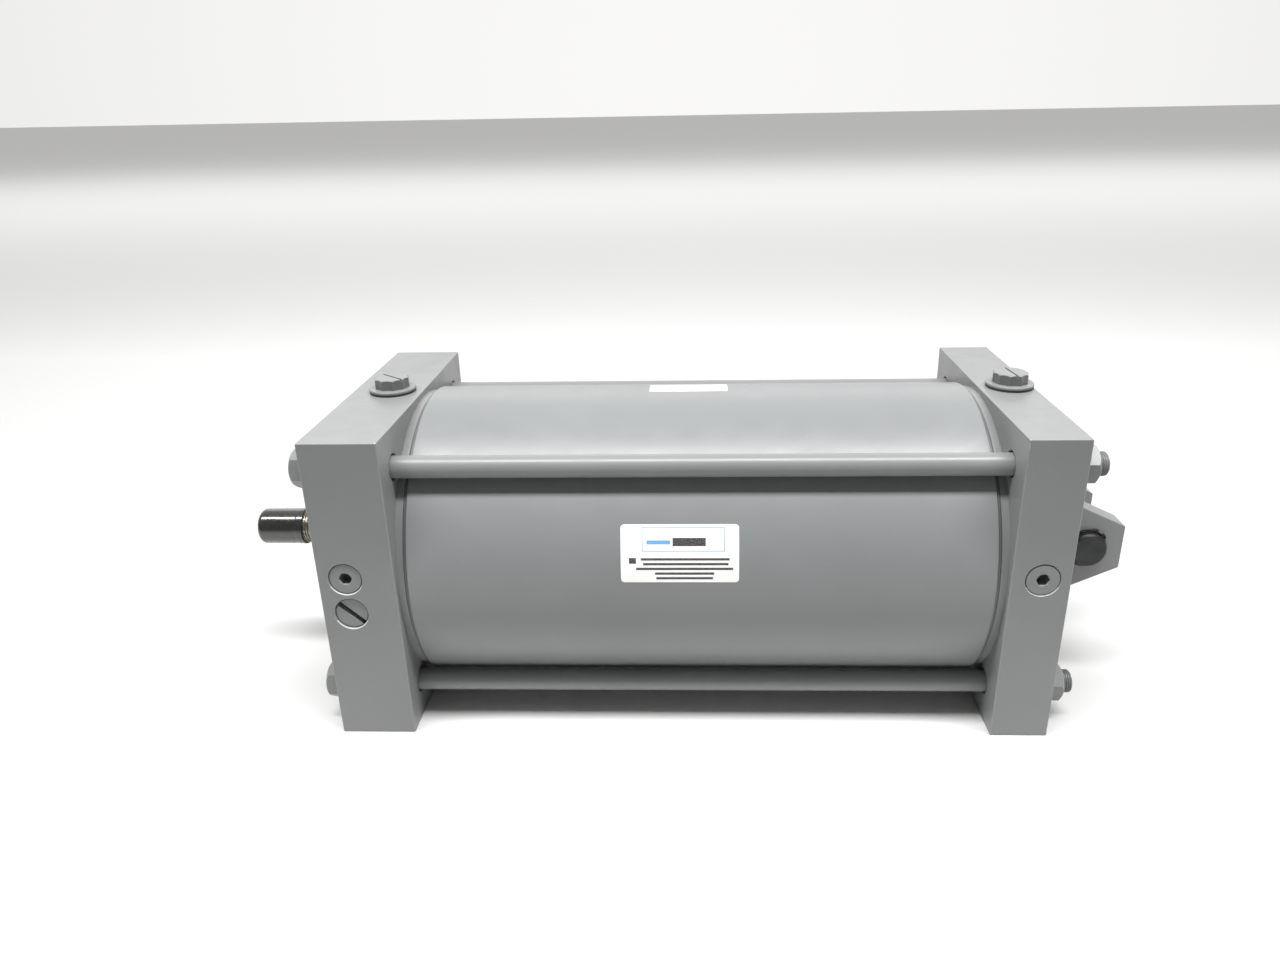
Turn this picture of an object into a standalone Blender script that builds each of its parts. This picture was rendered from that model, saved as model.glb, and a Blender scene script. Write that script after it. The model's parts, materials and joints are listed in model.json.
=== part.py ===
"""Square-block tie-rod pneumatic cylinder with a fixed rear clevis.

The cylinder lies along X with its rod end towards -X and its clevis towards +X.
Z is up, and Z = 0 is the plane that the two square blocks stand on.
Stations are distances along X, counted from the outer face of the head block.
"""
import math

import bmesh
import bpy
from mathutils import Euler, Vector

INCH = 0.0254
MM = 0.001

# ---------------------------------------------------------------- driving dimensions
BORE = 8.0 * INCH
STROKE = 14.0 * INCH
ROD_RADIUS = 1.375 * INCH / 2
BLOCK_SIDE = 8.5 * INCH
HEAD_THICKNESS = 2.0 * INCH
CAP_THICKNESS = 1.5 * INCH
BLOCK_SPACING = STROKE + 1.625 * INCH
BLOCK_CHAMFER = 0.7 * MM
GAP = 0.3 * MM

TUBE_RADIUS = 8.375 * INCH / 2
TUBE_INSET = 0.30 * INCH
BOSS_RADIUS = 4.09 * INCH
BOSS_WIDTH = 0.20 * INCH
PILOT_LENGTH = 10.0 * MM

TIE_ROD_OFFSET = 9.1 * INCH / (2 * math.sqrt(2))
TIE_ROD_RADIUS = 0.589 * INCH / 2
TIE_THREAD_RADIUS = 0.625 * INCH / 2
TIE_HOLE_RADIUS = 8.8 * MM
NUT_ACROSS_FLATS = 0.9375 * INCH
NUT_THICKNESS = 0.547 * INCH
TIE_ROD_STUB = 0.83 * INCH

ROD_THREAD_RADIUS = 0.5 * INCH
ROD_THREAD_LENGTH = 1.625 * INCH
ROD_SHOULDER = 1.625 * INCH
ROD_FLATS = 1.125 * INCH
PROTECTOR_RADIUS = 0.543 * INCH
PROTECTOR_TIP = 85.6 * MM
PROTECTOR_MOUTH = 50.5 * MM

BUSHING_RADIUS = 25.4 * MM
BUSHING_FLANGE_RADIUS = 30.15 * MM
BUSHING_BORE = 17.9 * MM
BUSHING_LENGTH = 34.0 * MM
BUSHING_NOSE = 15.875 * MM
RETAINER_THICKNESS = 0.375 * INCH
RETAINER_RADIUS = 1.75 * INCH
RETAINER_BORE = 25.8 * MM
RETAINER_CIRCLE_RADIUS = 36.5 * MM
RETAINER_SCREW_HOLE = 3.6 * MM

PORT_SETBACK = 0.86 * INCH
PORT_RADIUS = 13.8 * MM
PORT_DEPTH = 19.0 * MM
PASSAGE_RADIUS = 6.0 * MM
BYPASS_RADIUS = 2.5 * MM
CUSHION_BORE = 22.75 * MM
CUSHION_SEAL_RADIUS = 27.0 * MM
SLEEVE_BORE = 16.35 * MM
SLEEVE_RADIUS = 22.2 * MM
SLEEVE_LENGTH = 25.0 * MM
SPEAR_BORE = 16.4 * MM
SPEAR_RADIUS = 15.875 * MM
SPEAR_LENGTH = 28.0 * MM
SPEAR_SOCKET = 18.6 * MM
SPEAR_SEAL_RADIUS = 20.0 * MM

NEEDLE_MOUTH = 11.2 * MM
NEEDLE_MOUTH_DEPTH = 10.2 * MM
NEEDLE_HOLE_RADIUS = 5.5 * MM
NEEDLE_SEAT_DEPTH = 49.5 * MM
NEEDLE_SEAT_RADIUS = 2.8 * MM
NEEDLE_DISC = 10.6 * MM
NEEDLE_SHANK = 4.9 * MM
FRONT_HOLE_DEPTH = 62.0 * MM
CHECK_MOUTH_DEPTH = 13.5 * MM
CHECK_CHAMBER_RADIUS = 6.2 * MM
CHECK_SEAT_DEPTH = 32.0 * MM
CHECK_SEAT_RADIUS = 3.4 * MM

PLUG_THREAD_RADIUS = 12.7 * MM
PLUG_HOLLOW_RADIUS = 9.5 * MM
PLUG_LENGTH = 13.0 * MM
PLUG_FLANGE_RADIUS = 0.645 * INCH
PLUG_HEAD_RADIUS = 12.3 * MM
PLUG_HEAD_HEIGHT = 7.4 * MM
HEAD_PLUG_SLOT_TURN = math.radians(-38)
CAP_PLUG_SLOT_TURN = math.radians(-74)

CLEVIS_GAP = 1.5 * INCH
CLEVIS_EAR = 0.75 * INCH
CLEVIS_PIN_RADIUS = 0.5 * INCH
CLEVIS_PIN_STATION = 1.5 * INCH
CLEVIS_TIP = 2.5 * INCH
CLEVIS_BASE = 0.5 * INCH
CLEVIS_ROOT_HALF_HEIGHT = 1.80 * INCH
CLEVIS_TIP_HALF_HEIGHT = 0.64 * INCH
CLEVIS_SCREW_Y = 28.6 * MM
CLEVIS_SCREW_Z = 30.0 * MM
CLEVIS_SCREW_HOLE = 5.3 * MM
CLEVIS_SCREW_POCKET = 7.7 * MM
CLEVIS_POCKET_DEPTH = 10.0 * MM
CLEVIS_SCREW_REACH = 16.0 * MM
RETAINING_RING_RADIUS = 15.4 * MM

# Each label: start and end station, then the angles of its lower and upper edges.
BARREL_LABEL = (7.823 * INCH, 10.83 * INCH, 5.4, 26.0)
SERIAL_PLATE = (8.46 * INCH, 10.66 * INCH, 87.0, 101.0)
LABEL_THICKNESS = 0.3 * MM

# ---------------------------------------------------------------- derived stations
HALF_SIDE = BLOCK_SIDE / 2
AXIS_HEIGHT = HALF_SIDE
BORE_RADIUS = BORE / 2
HEAD_INNER = HEAD_THICKNESS
CAP_INNER = HEAD_INNER + BLOCK_SPACING
CAP_OUTER = CAP_INNER + CAP_THICKNESS
HEAD_PILOT_END = HEAD_INNER + PILOT_LENGTH
CAP_PILOT_END = CAP_INNER - PILOT_LENGTH
HEAD_PORT = HEAD_INNER - PORT_SETBACK
CAP_PORT = CAP_INNER + PORT_SETBACK
ORIGIN_STATION = (CAP_OUTER + CLEVIS_TIP - PROTECTOR_TIP) / 2

# The piston keeps a gap from the cap at rest and slightly more from the head at full stroke.
HEAD_END_GAP = 1.25 * GAP
PISTON_LENGTH = CAP_PILOT_END - HEAD_PILOT_END - STROKE - GAP - HEAD_END_GAP
PISTON_REAR = CAP_PILOT_END - GAP
PISTON_FRONT = PISTON_REAR - PISTON_LENGTH

HEAD_NEEDLE = (0.709 * INCH, 4.763 * INCH)
CAP_NEEDLE = (CAP_INNER + 0.80 * INCH, 4.735 * INCH)
CHECK_PLUG = (0.740 * INCH, 3.749 * INCH)

# Facets round a full turn. Coaxial neighbours share a count so their gaps stay even.
LARGE = 36
MEDIUM = 20
SMALL = 12
TINY = 10

# Directions that a piece's own Z axis can be turned to.
ALONG_X = Euler((0, math.pi / 2, 0))
AGAINST_X = Euler((0, -math.pi / 2, 0))
ALONG_FRONT = Euler((math.pi / 2, 0, 0))
ALONG_BACK = Euler((-math.pi / 2, 0, 0))
UPRIGHT = Euler((0, 0, 0))

FINISHES = {
    "grey_paint": ((0.235, 0.245, 0.250), 0.45, 0.1),
    "bright_steel": ((0.56, 0.56, 0.55), 0.25, 1.0),
    "chrome": ((0.72, 0.72, 0.72), 0.10, 1.0),
    "black_oxide": ((0.035, 0.036, 0.036), 0.42, 0.8),
    "black_vinyl": ((0.012, 0.012, 0.013), 0.22, 0.0),
    "bronze": ((0.55, 0.38, 0.16), 0.35, 1.0),
    "seal_rubber": ((0.02, 0.02, 0.02), 0.60, 0.0),
    "wear_plastic": ((0.18, 0.30, 0.26), 0.50, 0.0),
    "aluminium": ((0.62, 0.63, 0.64), 0.35, 1.0),
    "label_white": ((0.86, 0.86, 0.84), 0.40, 0.0),
}


# ---------------------------------------------------------------- helpers
def clear_scene():
    """Remove every object of the open scene."""
    for old in list(bpy.data.objects):
        bpy.data.objects.remove(old, do_unlink=True)


def finish_material(name):
    """Return the Principled material of a finish, made on first use."""
    if name in bpy.data.materials:
        return bpy.data.materials[name]
    color, roughness, metallic = FINISHES[name]
    material = bpy.data.materials.new(name)
    material.use_nodes = True
    shader = material.node_tree.nodes["Principled BSDF"]
    shader.inputs["Base Color"].default_value = (*color, 1.0)
    shader.inputs["Roughness"].default_value = roughness
    shader.inputs["Metallic"].default_value = metallic
    return material


def at(station, y=0.0, height=AXIS_HEIGHT):
    """World point at a station along the cylinder."""
    return Vector((station - ORIGIN_STATION, y, height))


def place_mesh(name, mesh, finish, location, rotation):
    """Link a new object that shows a mesh with one finish."""
    piece = bpy.data.objects.new(name, mesh)
    bpy.context.scene.collection.objects.link(piece)
    piece.location = location
    piece.rotation_euler = rotation
    if finish and not mesh.materials:
        mesh.materials.append(finish_material(finish))
    return piece


def finish_bmesh(bm, name):
    """Turn a bmesh into a mesh with outward, smoothly shaded faces."""
    bmesh.ops.remove_doubles(bm, verts=bm.verts[:], dist=1e-7)
    bmesh.ops.recalc_face_normals(bm, faces=bm.faces[:])
    mesh = bpy.data.meshes.new(name)
    bm.to_mesh(mesh)
    bm.free()
    mesh.shade_smooth()
    mesh.set_sharp_from_angle(angle=math.radians(30))
    return mesh


def turned_mesh(name, outline, sides):
    """Spin a half section of (axial, radius) points about Z into a closed solid."""
    bm = bmesh.new()
    points = [bm.verts.new((radius, 0.0, axial)) for axial, radius in outline]
    edges = [bm.edges.new(pair) for pair in zip(points, points[1:])]
    if outline[0][1] > 0 or outline[-1][1] > 0:
        edges.append(bm.edges.new((points[-1], points[0])))
    bmesh.ops.spin(bm, geom=points + edges, cent=(0, 0, 0), axis=(0, 0, 1),
                   angle=2 * math.pi, steps=sides, use_merge=True)
    return finish_bmesh(bm, name)


def turned(name, outline, finish, location, rotation=ALONG_X, sides=MEDIUM):
    """Add a turned piece."""
    return place_mesh(name, turned_mesh(name, outline, sides), finish, location, rotation)


def ring(name, start, end, inner, outer, finish, sides=MEDIUM):
    """Add a plain ring on the cylinder axis between two stations."""
    outline = [(0, inner), (end - start, inner), (end - start, outer), (0, outer)]
    return turned(name, outline, finish, at(start), ALONG_X, sides)


def prism_mesh(name, outline, length):
    """Extrude a closed outline of (x, y) points by a length along Z."""
    bm = bmesh.new()
    face = bm.faces.new([bm.verts.new((x, y, 0.0)) for x, y in outline])
    extruded = bmesh.ops.extrude_face_region(bm, geom=[face])["geom"]
    risen = [item for item in extruded if isinstance(item, bmesh.types.BMVert)]
    bmesh.ops.translate(bm, verts=risen, vec=(0, 0, length))
    return finish_bmesh(bm, name)


def box(name, size, finish, location):
    """Add a box centred on a point."""
    bm = bmesh.new()
    bmesh.ops.create_cube(bm, size=1.0)
    bmesh.ops.scale(bm, verts=bm.verts[:], vec=size)
    return place_mesh(name, finish_bmesh(bm, name), finish, location, UPRIGHT)


def polygon(sides, radius, start=0.0):
    """Corner points of a regular polygon."""
    turns = [start + 2 * math.pi * step / sides for step in range(sides)]
    return [(radius * math.cos(turn), radius * math.sin(turn)) for turn in turns]


def cut(piece, *cutters, operation="DIFFERENCE"):
    """Boolean each cutter out of a piece and hide the cutters."""
    for cutter in cutters:
        cutter.hide_render = True
        cutter.display_type = "WIRE"
        modifier = piece.modifiers.new(cutter.name, "BOOLEAN")
        modifier.operation = operation
        modifier.solver = "EXACT"
        modifier.object = cutter
    return piece


def join(piece, *additions):
    """Boolean union of a piece with other solids."""
    return cut(piece, *additions, operation="UNION")


def baked_mesh(piece):
    """Apply a piece's modifiers, remove it with its cutters, and return its mesh."""
    bpy.context.view_layer.update()
    graph = bpy.context.evaluated_depsgraph_get()
    mesh = bpy.data.meshes.new_from_object(piece.evaluated_get(graph))
    cutters = [modifier.object for modifier in piece.modifiers]
    for done in [piece] + cutters:
        bpy.data.objects.remove(done, do_unlink=True)
    return mesh


def drilling(name, start, end, radius, sides=TINY):
    """Cutter for a straight hole between two points."""
    span = end - start
    outline = [(0, 0), (0, radius), (span.length, radius), (span.length, 0)]
    rotation = span.to_track_quat("Z", "Y").to_euler()
    return turned(name, outline, None, start, rotation, sides)


def corner_signs():
    """The four corners as sign pairs, front bottom first."""
    return [(-1, -1), (1, -1), (1, 1), (-1, 1)]


# ---------------------------------------------------------------- end blocks
def tie_rod_holes(block_name, start, end):
    """Clearance holes for the four tie rods."""
    holes = []
    for number, (side, level) in enumerate(corner_signs(), 1):
        y = side * TIE_ROD_OFFSET
        height = AXIS_HEIGHT + level * TIE_ROD_OFFSET
        name = f"cutter_{block_name}_tie_hole_{number}"
        hole = drilling(name, at(start - MM, y, height), at(end + MM, y, height),
                        TIE_HOLE_RADIUS, SMALL)
        holes.append(hole)
    return holes


def port_hole(name, station):
    """Cutter for a pipe port opening on the top of a block."""
    outline = [(0, 0), (0, PORT_RADIUS - MM), (PORT_DEPTH, PORT_RADIUS),
               (PORT_DEPTH + MM, PORT_RADIUS), (PORT_DEPTH + MM, 0)]
    return turned(name, outline, None, at(station, 0, BLOCK_SIDE - PORT_DEPTH), UPRIGHT, MEDIUM)


def needle_hole(name, spot):
    """Cutter for a cushion needle's stepped hole in the front of a block."""
    station, height = spot
    outline = [(-FRONT_HOLE_DEPTH, 0), (-FRONT_HOLE_DEPTH, NEEDLE_SEAT_RADIUS),
               (-NEEDLE_SEAT_DEPTH, NEEDLE_SEAT_RADIUS), (-NEEDLE_SEAT_DEPTH, NEEDLE_HOLE_RADIUS),
               (-NEEDLE_MOUTH_DEPTH, NEEDLE_HOLE_RADIUS), (-NEEDLE_MOUTH_DEPTH, NEEDLE_MOUTH),
               (MM, NEEDLE_MOUTH), (MM, 0)]
    return turned(name, outline, None, at(station, -HALF_SIDE, height), ALONG_FRONT, SMALL)


def block_blank(name, start, thickness):
    """Square block with broken edges."""
    blank = box(name, (thickness, BLOCK_SIDE, BLOCK_SIDE), "grey_paint", at(start + thickness / 2))
    bevel = blank.modifiers.new("broken_edges", "BEVEL")
    bevel.width = BLOCK_CHAMFER
    bevel.segments = 1
    return blank


def head_bore():
    """Cutter for the stepped bore that holds the rod bushing and the cushion seal."""
    flange = BUSHING_FLANGE_RADIUS + GAP
    seat = BUSHING_RADIUS + GAP
    flange_floor = 8.3 * MM
    seat_floor = BUSHING_LENGTH + GAP
    groove_start, groove_end = 49.0 * MM, 55.0 * MM
    steps = [(-MM, 0), (-MM, flange), (flange_floor, flange), (flange_floor, seat),
             (seat_floor, seat), (seat_floor, CUSHION_BORE), (groove_start, CUSHION_BORE),
             (groove_start, CUSHION_SEAL_RADIUS), (groove_end, CUSHION_SEAL_RADIUS),
             (groove_end, CUSHION_BORE), (HEAD_PILOT_END + MM, CUSHION_BORE),
             (HEAD_PILOT_END + MM, 0)]
    return turned("cutter_head_bore", steps, None, at(0), ALONG_X, MEDIUM)


def end_boss(name, face, inward):
    """Raised boss and pilot that carry the barrel, growing inward from a block face."""
    root = -2 * MM
    outline = [(root, 0), (root, BOSS_RADIUS), (BOSS_WIDTH, BOSS_RADIUS),
               (BOSS_WIDTH, BORE_RADIUS - GAP), (PILOT_LENGTH, BORE_RADIUS - GAP), (PILOT_LENGTH, 0)]
    stepped = [(inward * axial, radius) for axial, radius in outline]
    return turned(name, stepped, None, at(face), ALONG_X, LARGE)


def head_block():
    """Rod-end block with its bore, port, needle and check valve holes."""
    head = block_blank("head", 0, HEAD_THICKNESS)
    join(head, end_boss("adder_head_boss", HEAD_INNER, 1))
    cut(head, head_bore(), *tie_rod_holes("head", 0, HEAD_INNER))
    cut(head, port_hole("cutter_head_port", HEAD_PORT),
        needle_hole("cutter_head_needle", HEAD_NEEDLE))
    cavity = at(41 * MM, -18 * MM, AXIS_HEIGHT + 3 * MM)
    port_floor = at(HEAD_PORT, 0, BLOCK_SIDE - PORT_DEPTH + 2 * MM)
    needle_tip = at(HEAD_NEEDLE[0], -50 * MM, HEAD_NEEDLE[1])
    needle_side = at(HEAD_NEEDLE[0], -72 * MM, HEAD_NEEDLE[1])
    check_seat = at(CHECK_PLUG[0], -50 * MM, CHECK_PLUG[1])
    cut(head, check_valve_hole(),
        drilling("cutter_head_port_passage", port_floor,
                 at(41 * MM, 0, AXIS_HEIGHT + 20 * MM), PASSAGE_RADIUS),
        drilling("cutter_head_bypass_inner", needle_tip, cavity, BYPASS_RADIUS),
        drilling("cutter_head_bypass_outer", port_floor, needle_side, BYPASS_RADIUS),
        drilling("cutter_head_check_passage", check_seat, cavity, 3.0 * MM))
    for number, (side, level) in enumerate(corner_signs(), 1):
        y, height = retainer_screw_spot(side, level)
        cut(head, drilling(f"cutter_head_screw_hole_{number}", at(-MM, y, height),
                           at(13 * MM, y, height), RETAINER_SCREW_HOLE))
    return head


def check_valve_hole():
    """Cutter for the check valve's threaded mouth, ball chamber and seat."""
    outline = [(-FRONT_HOLE_DEPTH, 0), (-FRONT_HOLE_DEPTH, CHECK_SEAT_RADIUS),
               (-CHECK_SEAT_DEPTH, CHECK_SEAT_RADIUS), (-CHECK_SEAT_DEPTH, CHECK_CHAMBER_RADIUS),
               (-CHECK_MOUTH_DEPTH, CHECK_CHAMBER_RADIUS), (-CHECK_MOUTH_DEPTH, NEEDLE_MOUTH),
               (MM, NEEDLE_MOUTH), (MM, 0)]
    spot = at(CHECK_PLUG[0], -HALF_SIDE, CHECK_PLUG[1])
    return turned("cutter_head_check_valve", outline, None, spot, ALONG_FRONT, SMALL)


def cap_bore():
    """Cutter for the blind cushion bore of the cap and its seal groove."""
    depth = 34 * MM
    groove_start, groove_end = 4.3 * MM, 9.3 * MM
    steps = [(-MM, 0), (-MM, SPEAR_BORE), (groove_start, SPEAR_BORE),
             (groove_start, SPEAR_SEAL_RADIUS), (groove_end, SPEAR_SEAL_RADIUS),
             (groove_end, SPEAR_BORE), (depth, SPEAR_BORE), (depth, 0)]
    return turned("cutter_cap_bore", steps, None, at(CAP_PILOT_END), ALONG_X, MEDIUM)


def clevis_screw_spot(side, level):
    """Lateral place of a clevis screw."""
    return side * CLEVIS_SCREW_Y, AXIS_HEIGHT + level * CLEVIS_SCREW_Z


def cap_block():
    """Blind-end block with its cushion bore, port, needle and clevis screw holes."""
    cap = block_blank("cap", CAP_INNER, CAP_THICKNESS)
    join(cap, end_boss("adder_cap_boss", CAP_INNER, -1))
    cut(cap, cap_bore(), *tie_rod_holes("cap", CAP_INNER, CAP_OUTER))
    cut(cap, port_hole("cutter_cap_port", CAP_PORT), needle_hole("cutter_cap_needle", CAP_NEEDLE))
    cavity_station = CAP_PILOT_END + 25 * MM
    port_floor = at(CAP_PORT, 0, BLOCK_SIDE - PORT_DEPTH + 2 * MM)
    needle_tip = at(CAP_NEEDLE[0], -50 * MM, CAP_NEEDLE[1])
    needle_side = at(CAP_NEEDLE[0], -72 * MM, CAP_NEEDLE[1])
    cut(cap,
        drilling("cutter_cap_port_passage", port_floor,
                 at(cavity_station, 0, AXIS_HEIGHT + 12 * MM), PASSAGE_RADIUS),
        drilling("cutter_cap_bypass_inner", needle_tip,
                 at(cavity_station, -10 * MM, AXIS_HEIGHT + 4 * MM), BYPASS_RADIUS),
        drilling("cutter_cap_bypass_outer", port_floor, needle_side, BYPASS_RADIUS))
    through = PILOT_LENGTH + CAP_THICKNESS + MM
    outline = [(-MM, 0), (-MM, CLEVIS_SCREW_POCKET), (CLEVIS_POCKET_DEPTH, CLEVIS_SCREW_POCKET),
               (CLEVIS_POCKET_DEPTH, CLEVIS_SCREW_HOLE), (through, CLEVIS_SCREW_HOLE), (through, 0)]
    for number, (side, level) in enumerate(corner_signs(), 1):
        y, height = clevis_screw_spot(side, level)
        cut(cap, turned(f"cutter_cap_screw_hole_{number}", outline, None,
                        at(CAP_PILOT_END, y, height), ALONG_X, SMALL))
    return cap


# ---------------------------------------------------------------- barrel and tie rods
def barrel():
    """Tube between the blocks, with a gasket ring at each end."""
    start = HEAD_INNER + TUBE_INSET
    end = CAP_INNER - TUBE_INSET
    ring("barrel_tube", start, end, BORE_RADIUS, TUBE_RADIUS, "grey_paint", LARGE)
    outer = BOSS_RADIUS - MM
    boss_end = HEAD_INNER + BOSS_WIDTH
    ring("head_tube_gasket", boss_end + GAP, start - GAP, BORE_RADIUS, outer, "seal_rubber", LARGE)
    boss_end = CAP_INNER - BOSS_WIDTH
    ring("cap_tube_gasket", end + GAP, boss_end - GAP, BORE_RADIUS, outer, "seal_rubber", LARGE)


def tie_rod_mesh():
    """Rod blank with rolled threads at both ends, from the head nut to the cap stub."""
    start = 0.5 * MM - NUT_THICKNESS
    end = CAP_OUTER + TIE_ROD_STUB
    chamfer = MM
    outline = [(start, 0), (start, TIE_THREAD_RADIUS - chamfer), (start + chamfer, TIE_THREAD_RADIUS),
               (10 * MM, TIE_THREAD_RADIUS), (11 * MM, TIE_ROD_RADIUS),
               (CAP_INNER + 28 * MM, TIE_ROD_RADIUS), (CAP_INNER + 29 * MM, TIE_THREAD_RADIUS),
               (end - chamfer, TIE_THREAD_RADIUS), (end, TIE_THREAD_RADIUS - chamfer), (end, 0)]
    return turned_mesh("tie_rod", outline, SMALL)


def nut_mesh():
    """Hexagon nut from its seat at Z = 0 to its chamfered face, one corner on local -Y."""
    corner = NUT_ACROSS_FLATS / math.sqrt(3)
    chamfer = 2.2 * MM
    hexagon = polygon(6, corner, start=math.pi / 2)
    nut = place_mesh("nut", prism_mesh("nut", hexagon, NUT_THICKNESS), "grey_paint", at(0), UPRIGHT)
    margin = 1.2 * MM
    outline = [(-margin, 0), (-margin, corner + margin), (NUT_THICKNESS - chamfer, corner + margin),
               (NUT_THICKNESS, NUT_ACROSS_FLATS / 2), (NUT_THICKNESS, 0)]
    dome = turned("cutter_nut_dome", outline, None, at(0), UPRIGHT, SMALL)
    cut(nut, dome, operation="INTERSECT")
    bore = TIE_THREAD_RADIUS + GAP
    hole = [(-MM, 0), (-MM, bore), (NUT_THICKNESS + MM, bore), (NUT_THICKNESS + MM, 0)]
    cut(nut, turned("cutter_nut_bore", hole, None, at(0), UPRIGHT, SMALL))
    return baked_mesh(nut)


def tie_rods_and_nuts():
    """Four tie rods, each with a nut at the head and a nut at the cap."""
    rod_mesh = tie_rod_mesh()
    hexagon_mesh = nut_mesh()
    for number, (side, level) in enumerate(corner_signs(), 1):
        y = side * TIE_ROD_OFFSET
        height = AXIS_HEIGHT + level * TIE_ROD_OFFSET
        place_mesh(f"tie_rod_{number}", rod_mesh, "grey_paint", at(0, y, height), ALONG_X)
        place_mesh(f"head_nut_{number}", hexagon_mesh, "grey_paint", at(-GAP, y, height), AGAINST_X)
        place_mesh(f"cap_nut_{number}", hexagon_mesh, "grey_paint",
                   at(CAP_OUTER + GAP, y, height), ALONG_X)


# ---------------------------------------------------------------- rod bushing group
def retainer_screw_spot(side, level):
    """Lateral place of a retainer screw on its 73 mm bolt circle."""
    offset = RETAINER_CIRCLE_RADIUS / math.sqrt(2)
    return side * offset, AXIS_HEIGHT + level * offset


def rod_bushing():
    """Bronze bushing with a flange, seal and wiper grooves, and its O-ring."""
    bore = BUSHING_BORE
    body = BUSHING_RADIUS
    nose = -BUSHING_NOSE
    lip = 19.5 * MM
    wiper_groove, seal_groove, ring_groove = 22.0 * MM, 22.6 * MM, 23.0 * MM
    outline = [(nose, lip), (nose, body - MM), (nose + MM, body), (0, body),
               (0, BUSHING_FLANGE_RADIUS), (8 * MM, BUSHING_FLANGE_RADIUS), (8 * MM, body),
               (24 * MM, body), (24 * MM, ring_groove), (27.5 * MM, ring_groove),
               (27.5 * MM, body), (BUSHING_LENGTH, body), (BUSHING_LENGTH, bore),
               (21 * MM, bore), (21 * MM, seal_groove), (14 * MM, seal_groove), (14 * MM, bore),
               (-8 * MM, bore), (-8 * MM, wiper_groove), (-13 * MM, wiper_groove), (-13 * MM, lip)]
    turned("rod_bushing", outline, "bronze", at(0), ALONG_X, MEDIUM)
    ring("rod_wiper", -12.7 * MM, -8.3 * MM, bore, 21.7 * MM, "seal_rubber")
    ring("rod_seal", 14.3 * MM, 20.7 * MM, bore, 22.3 * MM, "seal_rubber")
    ring("bushing_o_ring", 24.3 * MM, 27.2 * MM, ring_groove + GAP, body, "seal_rubber")
    ring("head_cushion_seal", 49.3 * MM, 54.7 * MM, CUSHION_BORE, CUSHION_SEAL_RADIUS - GAP,
         "seal_rubber")


def bushing_retainer():
    """Round plate that holds the bushing, with four counterbored cap screws."""
    thickness = RETAINER_THICKNESS
    start = -GAP - thickness
    outer = RETAINER_RADIUS
    outline = [(0, RETAINER_BORE), (thickness, RETAINER_BORE), (thickness, outer),
               (MM, outer), (0, outer - MM)]
    plate = turned("bushing_retainer", outline, "grey_paint", at(start), ALONG_X, MEDIUM)
    sink, sink_depth = 5.3 * MM, 6.5 * MM
    holes = [(-MM, 0), (-MM, sink), (sink_depth, sink), (sink_depth, RETAINER_SCREW_HOLE),
             (thickness + MM, RETAINER_SCREW_HOLE), (thickness + MM, 0)]
    screw_mesh = cap_screw_mesh("retainer_screw", 4.76 * MM, 5.9 * MM, 3.17 * MM, 21 * MM)
    for number, (side, level) in enumerate(corner_signs(), 1):
        y, height = retainer_screw_spot(side, level)
        cut(plate, turned(f"cutter_retainer_hole_{number}", holes, None, at(start, y, height),
                          ALONG_X, TINY))
        place_mesh(f"retainer_screw_{number}", screw_mesh, "black_oxide",
                   at(start + GAP, y, height), ALONG_X)


def cap_screw_mesh(name, head_radius, head_height, shank_radius, length):
    """Socket head cap screw whose head starts at Z = 0 and whose shank points to +Z."""
    outline = [(0, 0), (0, head_radius), (head_height, head_radius), (head_height, shank_radius),
               (length, shank_radius), (length, 0)]
    screw = turned(name, outline, "black_oxide", at(0), UPRIGHT, TINY)
    socket = prism_mesh("socket", polygon(6, head_radius * 0.6), head_height * 0.6 + MM)
    cut(screw, place_mesh("cutter_socket", socket, None, at(0) - Vector((0, 0, MM)), UPRIGHT))
    return baked_mesh(screw)


# ---------------------------------------------------------------- piston and rod
def piston_rod():
    """Rod with end thread, wrench flats and the stepped end that carries the piston."""
    sleeve_start = PISTON_FRONT - SLEEVE_LENGTH - 2 * GAP
    sleeve_seat = SLEEVE_BORE - 0.35 * MM
    tip = -ROD_SHOULDER - ROD_THREAD_LENGTH
    tail = PISTON_REAR + SPEAR_SOCKET - GAP
    chamfer = 1.5 * MM
    stud = ROD_THREAD_RADIUS
    outline = [(tip, 0), (tip, stud - chamfer), (tip + chamfer, stud), (-ROD_SHOULDER, stud),
               (-ROD_SHOULDER, ROD_RADIUS - MM), (-ROD_SHOULDER + MM, ROD_RADIUS),
               (sleeve_start, ROD_RADIUS), (sleeve_start, sleeve_seat),
               (PISTON_FRONT - GAP, sleeve_seat), (PISTON_FRONT - GAP, stud), (tail, stud), (tail, 0)]
    rod = turned("piston_rod", outline, "chrome", at(0), ALONG_X, MEDIUM)
    flat_start = -ROD_SHOULDER + 2 * MM
    flat_end = -24 * MM
    depth = ROD_RADIUS - ROD_FLATS / 2
    for number, side in enumerate((-1, 1), 1):
        offset = side * (ROD_FLATS / 2 + depth)
        cut(rod, box(f"cutter_rod_flat_{number}", (flat_end - flat_start, 2 * depth, 3 * ROD_RADIUS),
                     None, at((flat_start + flat_end) / 2, offset)))
    return rod


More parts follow.
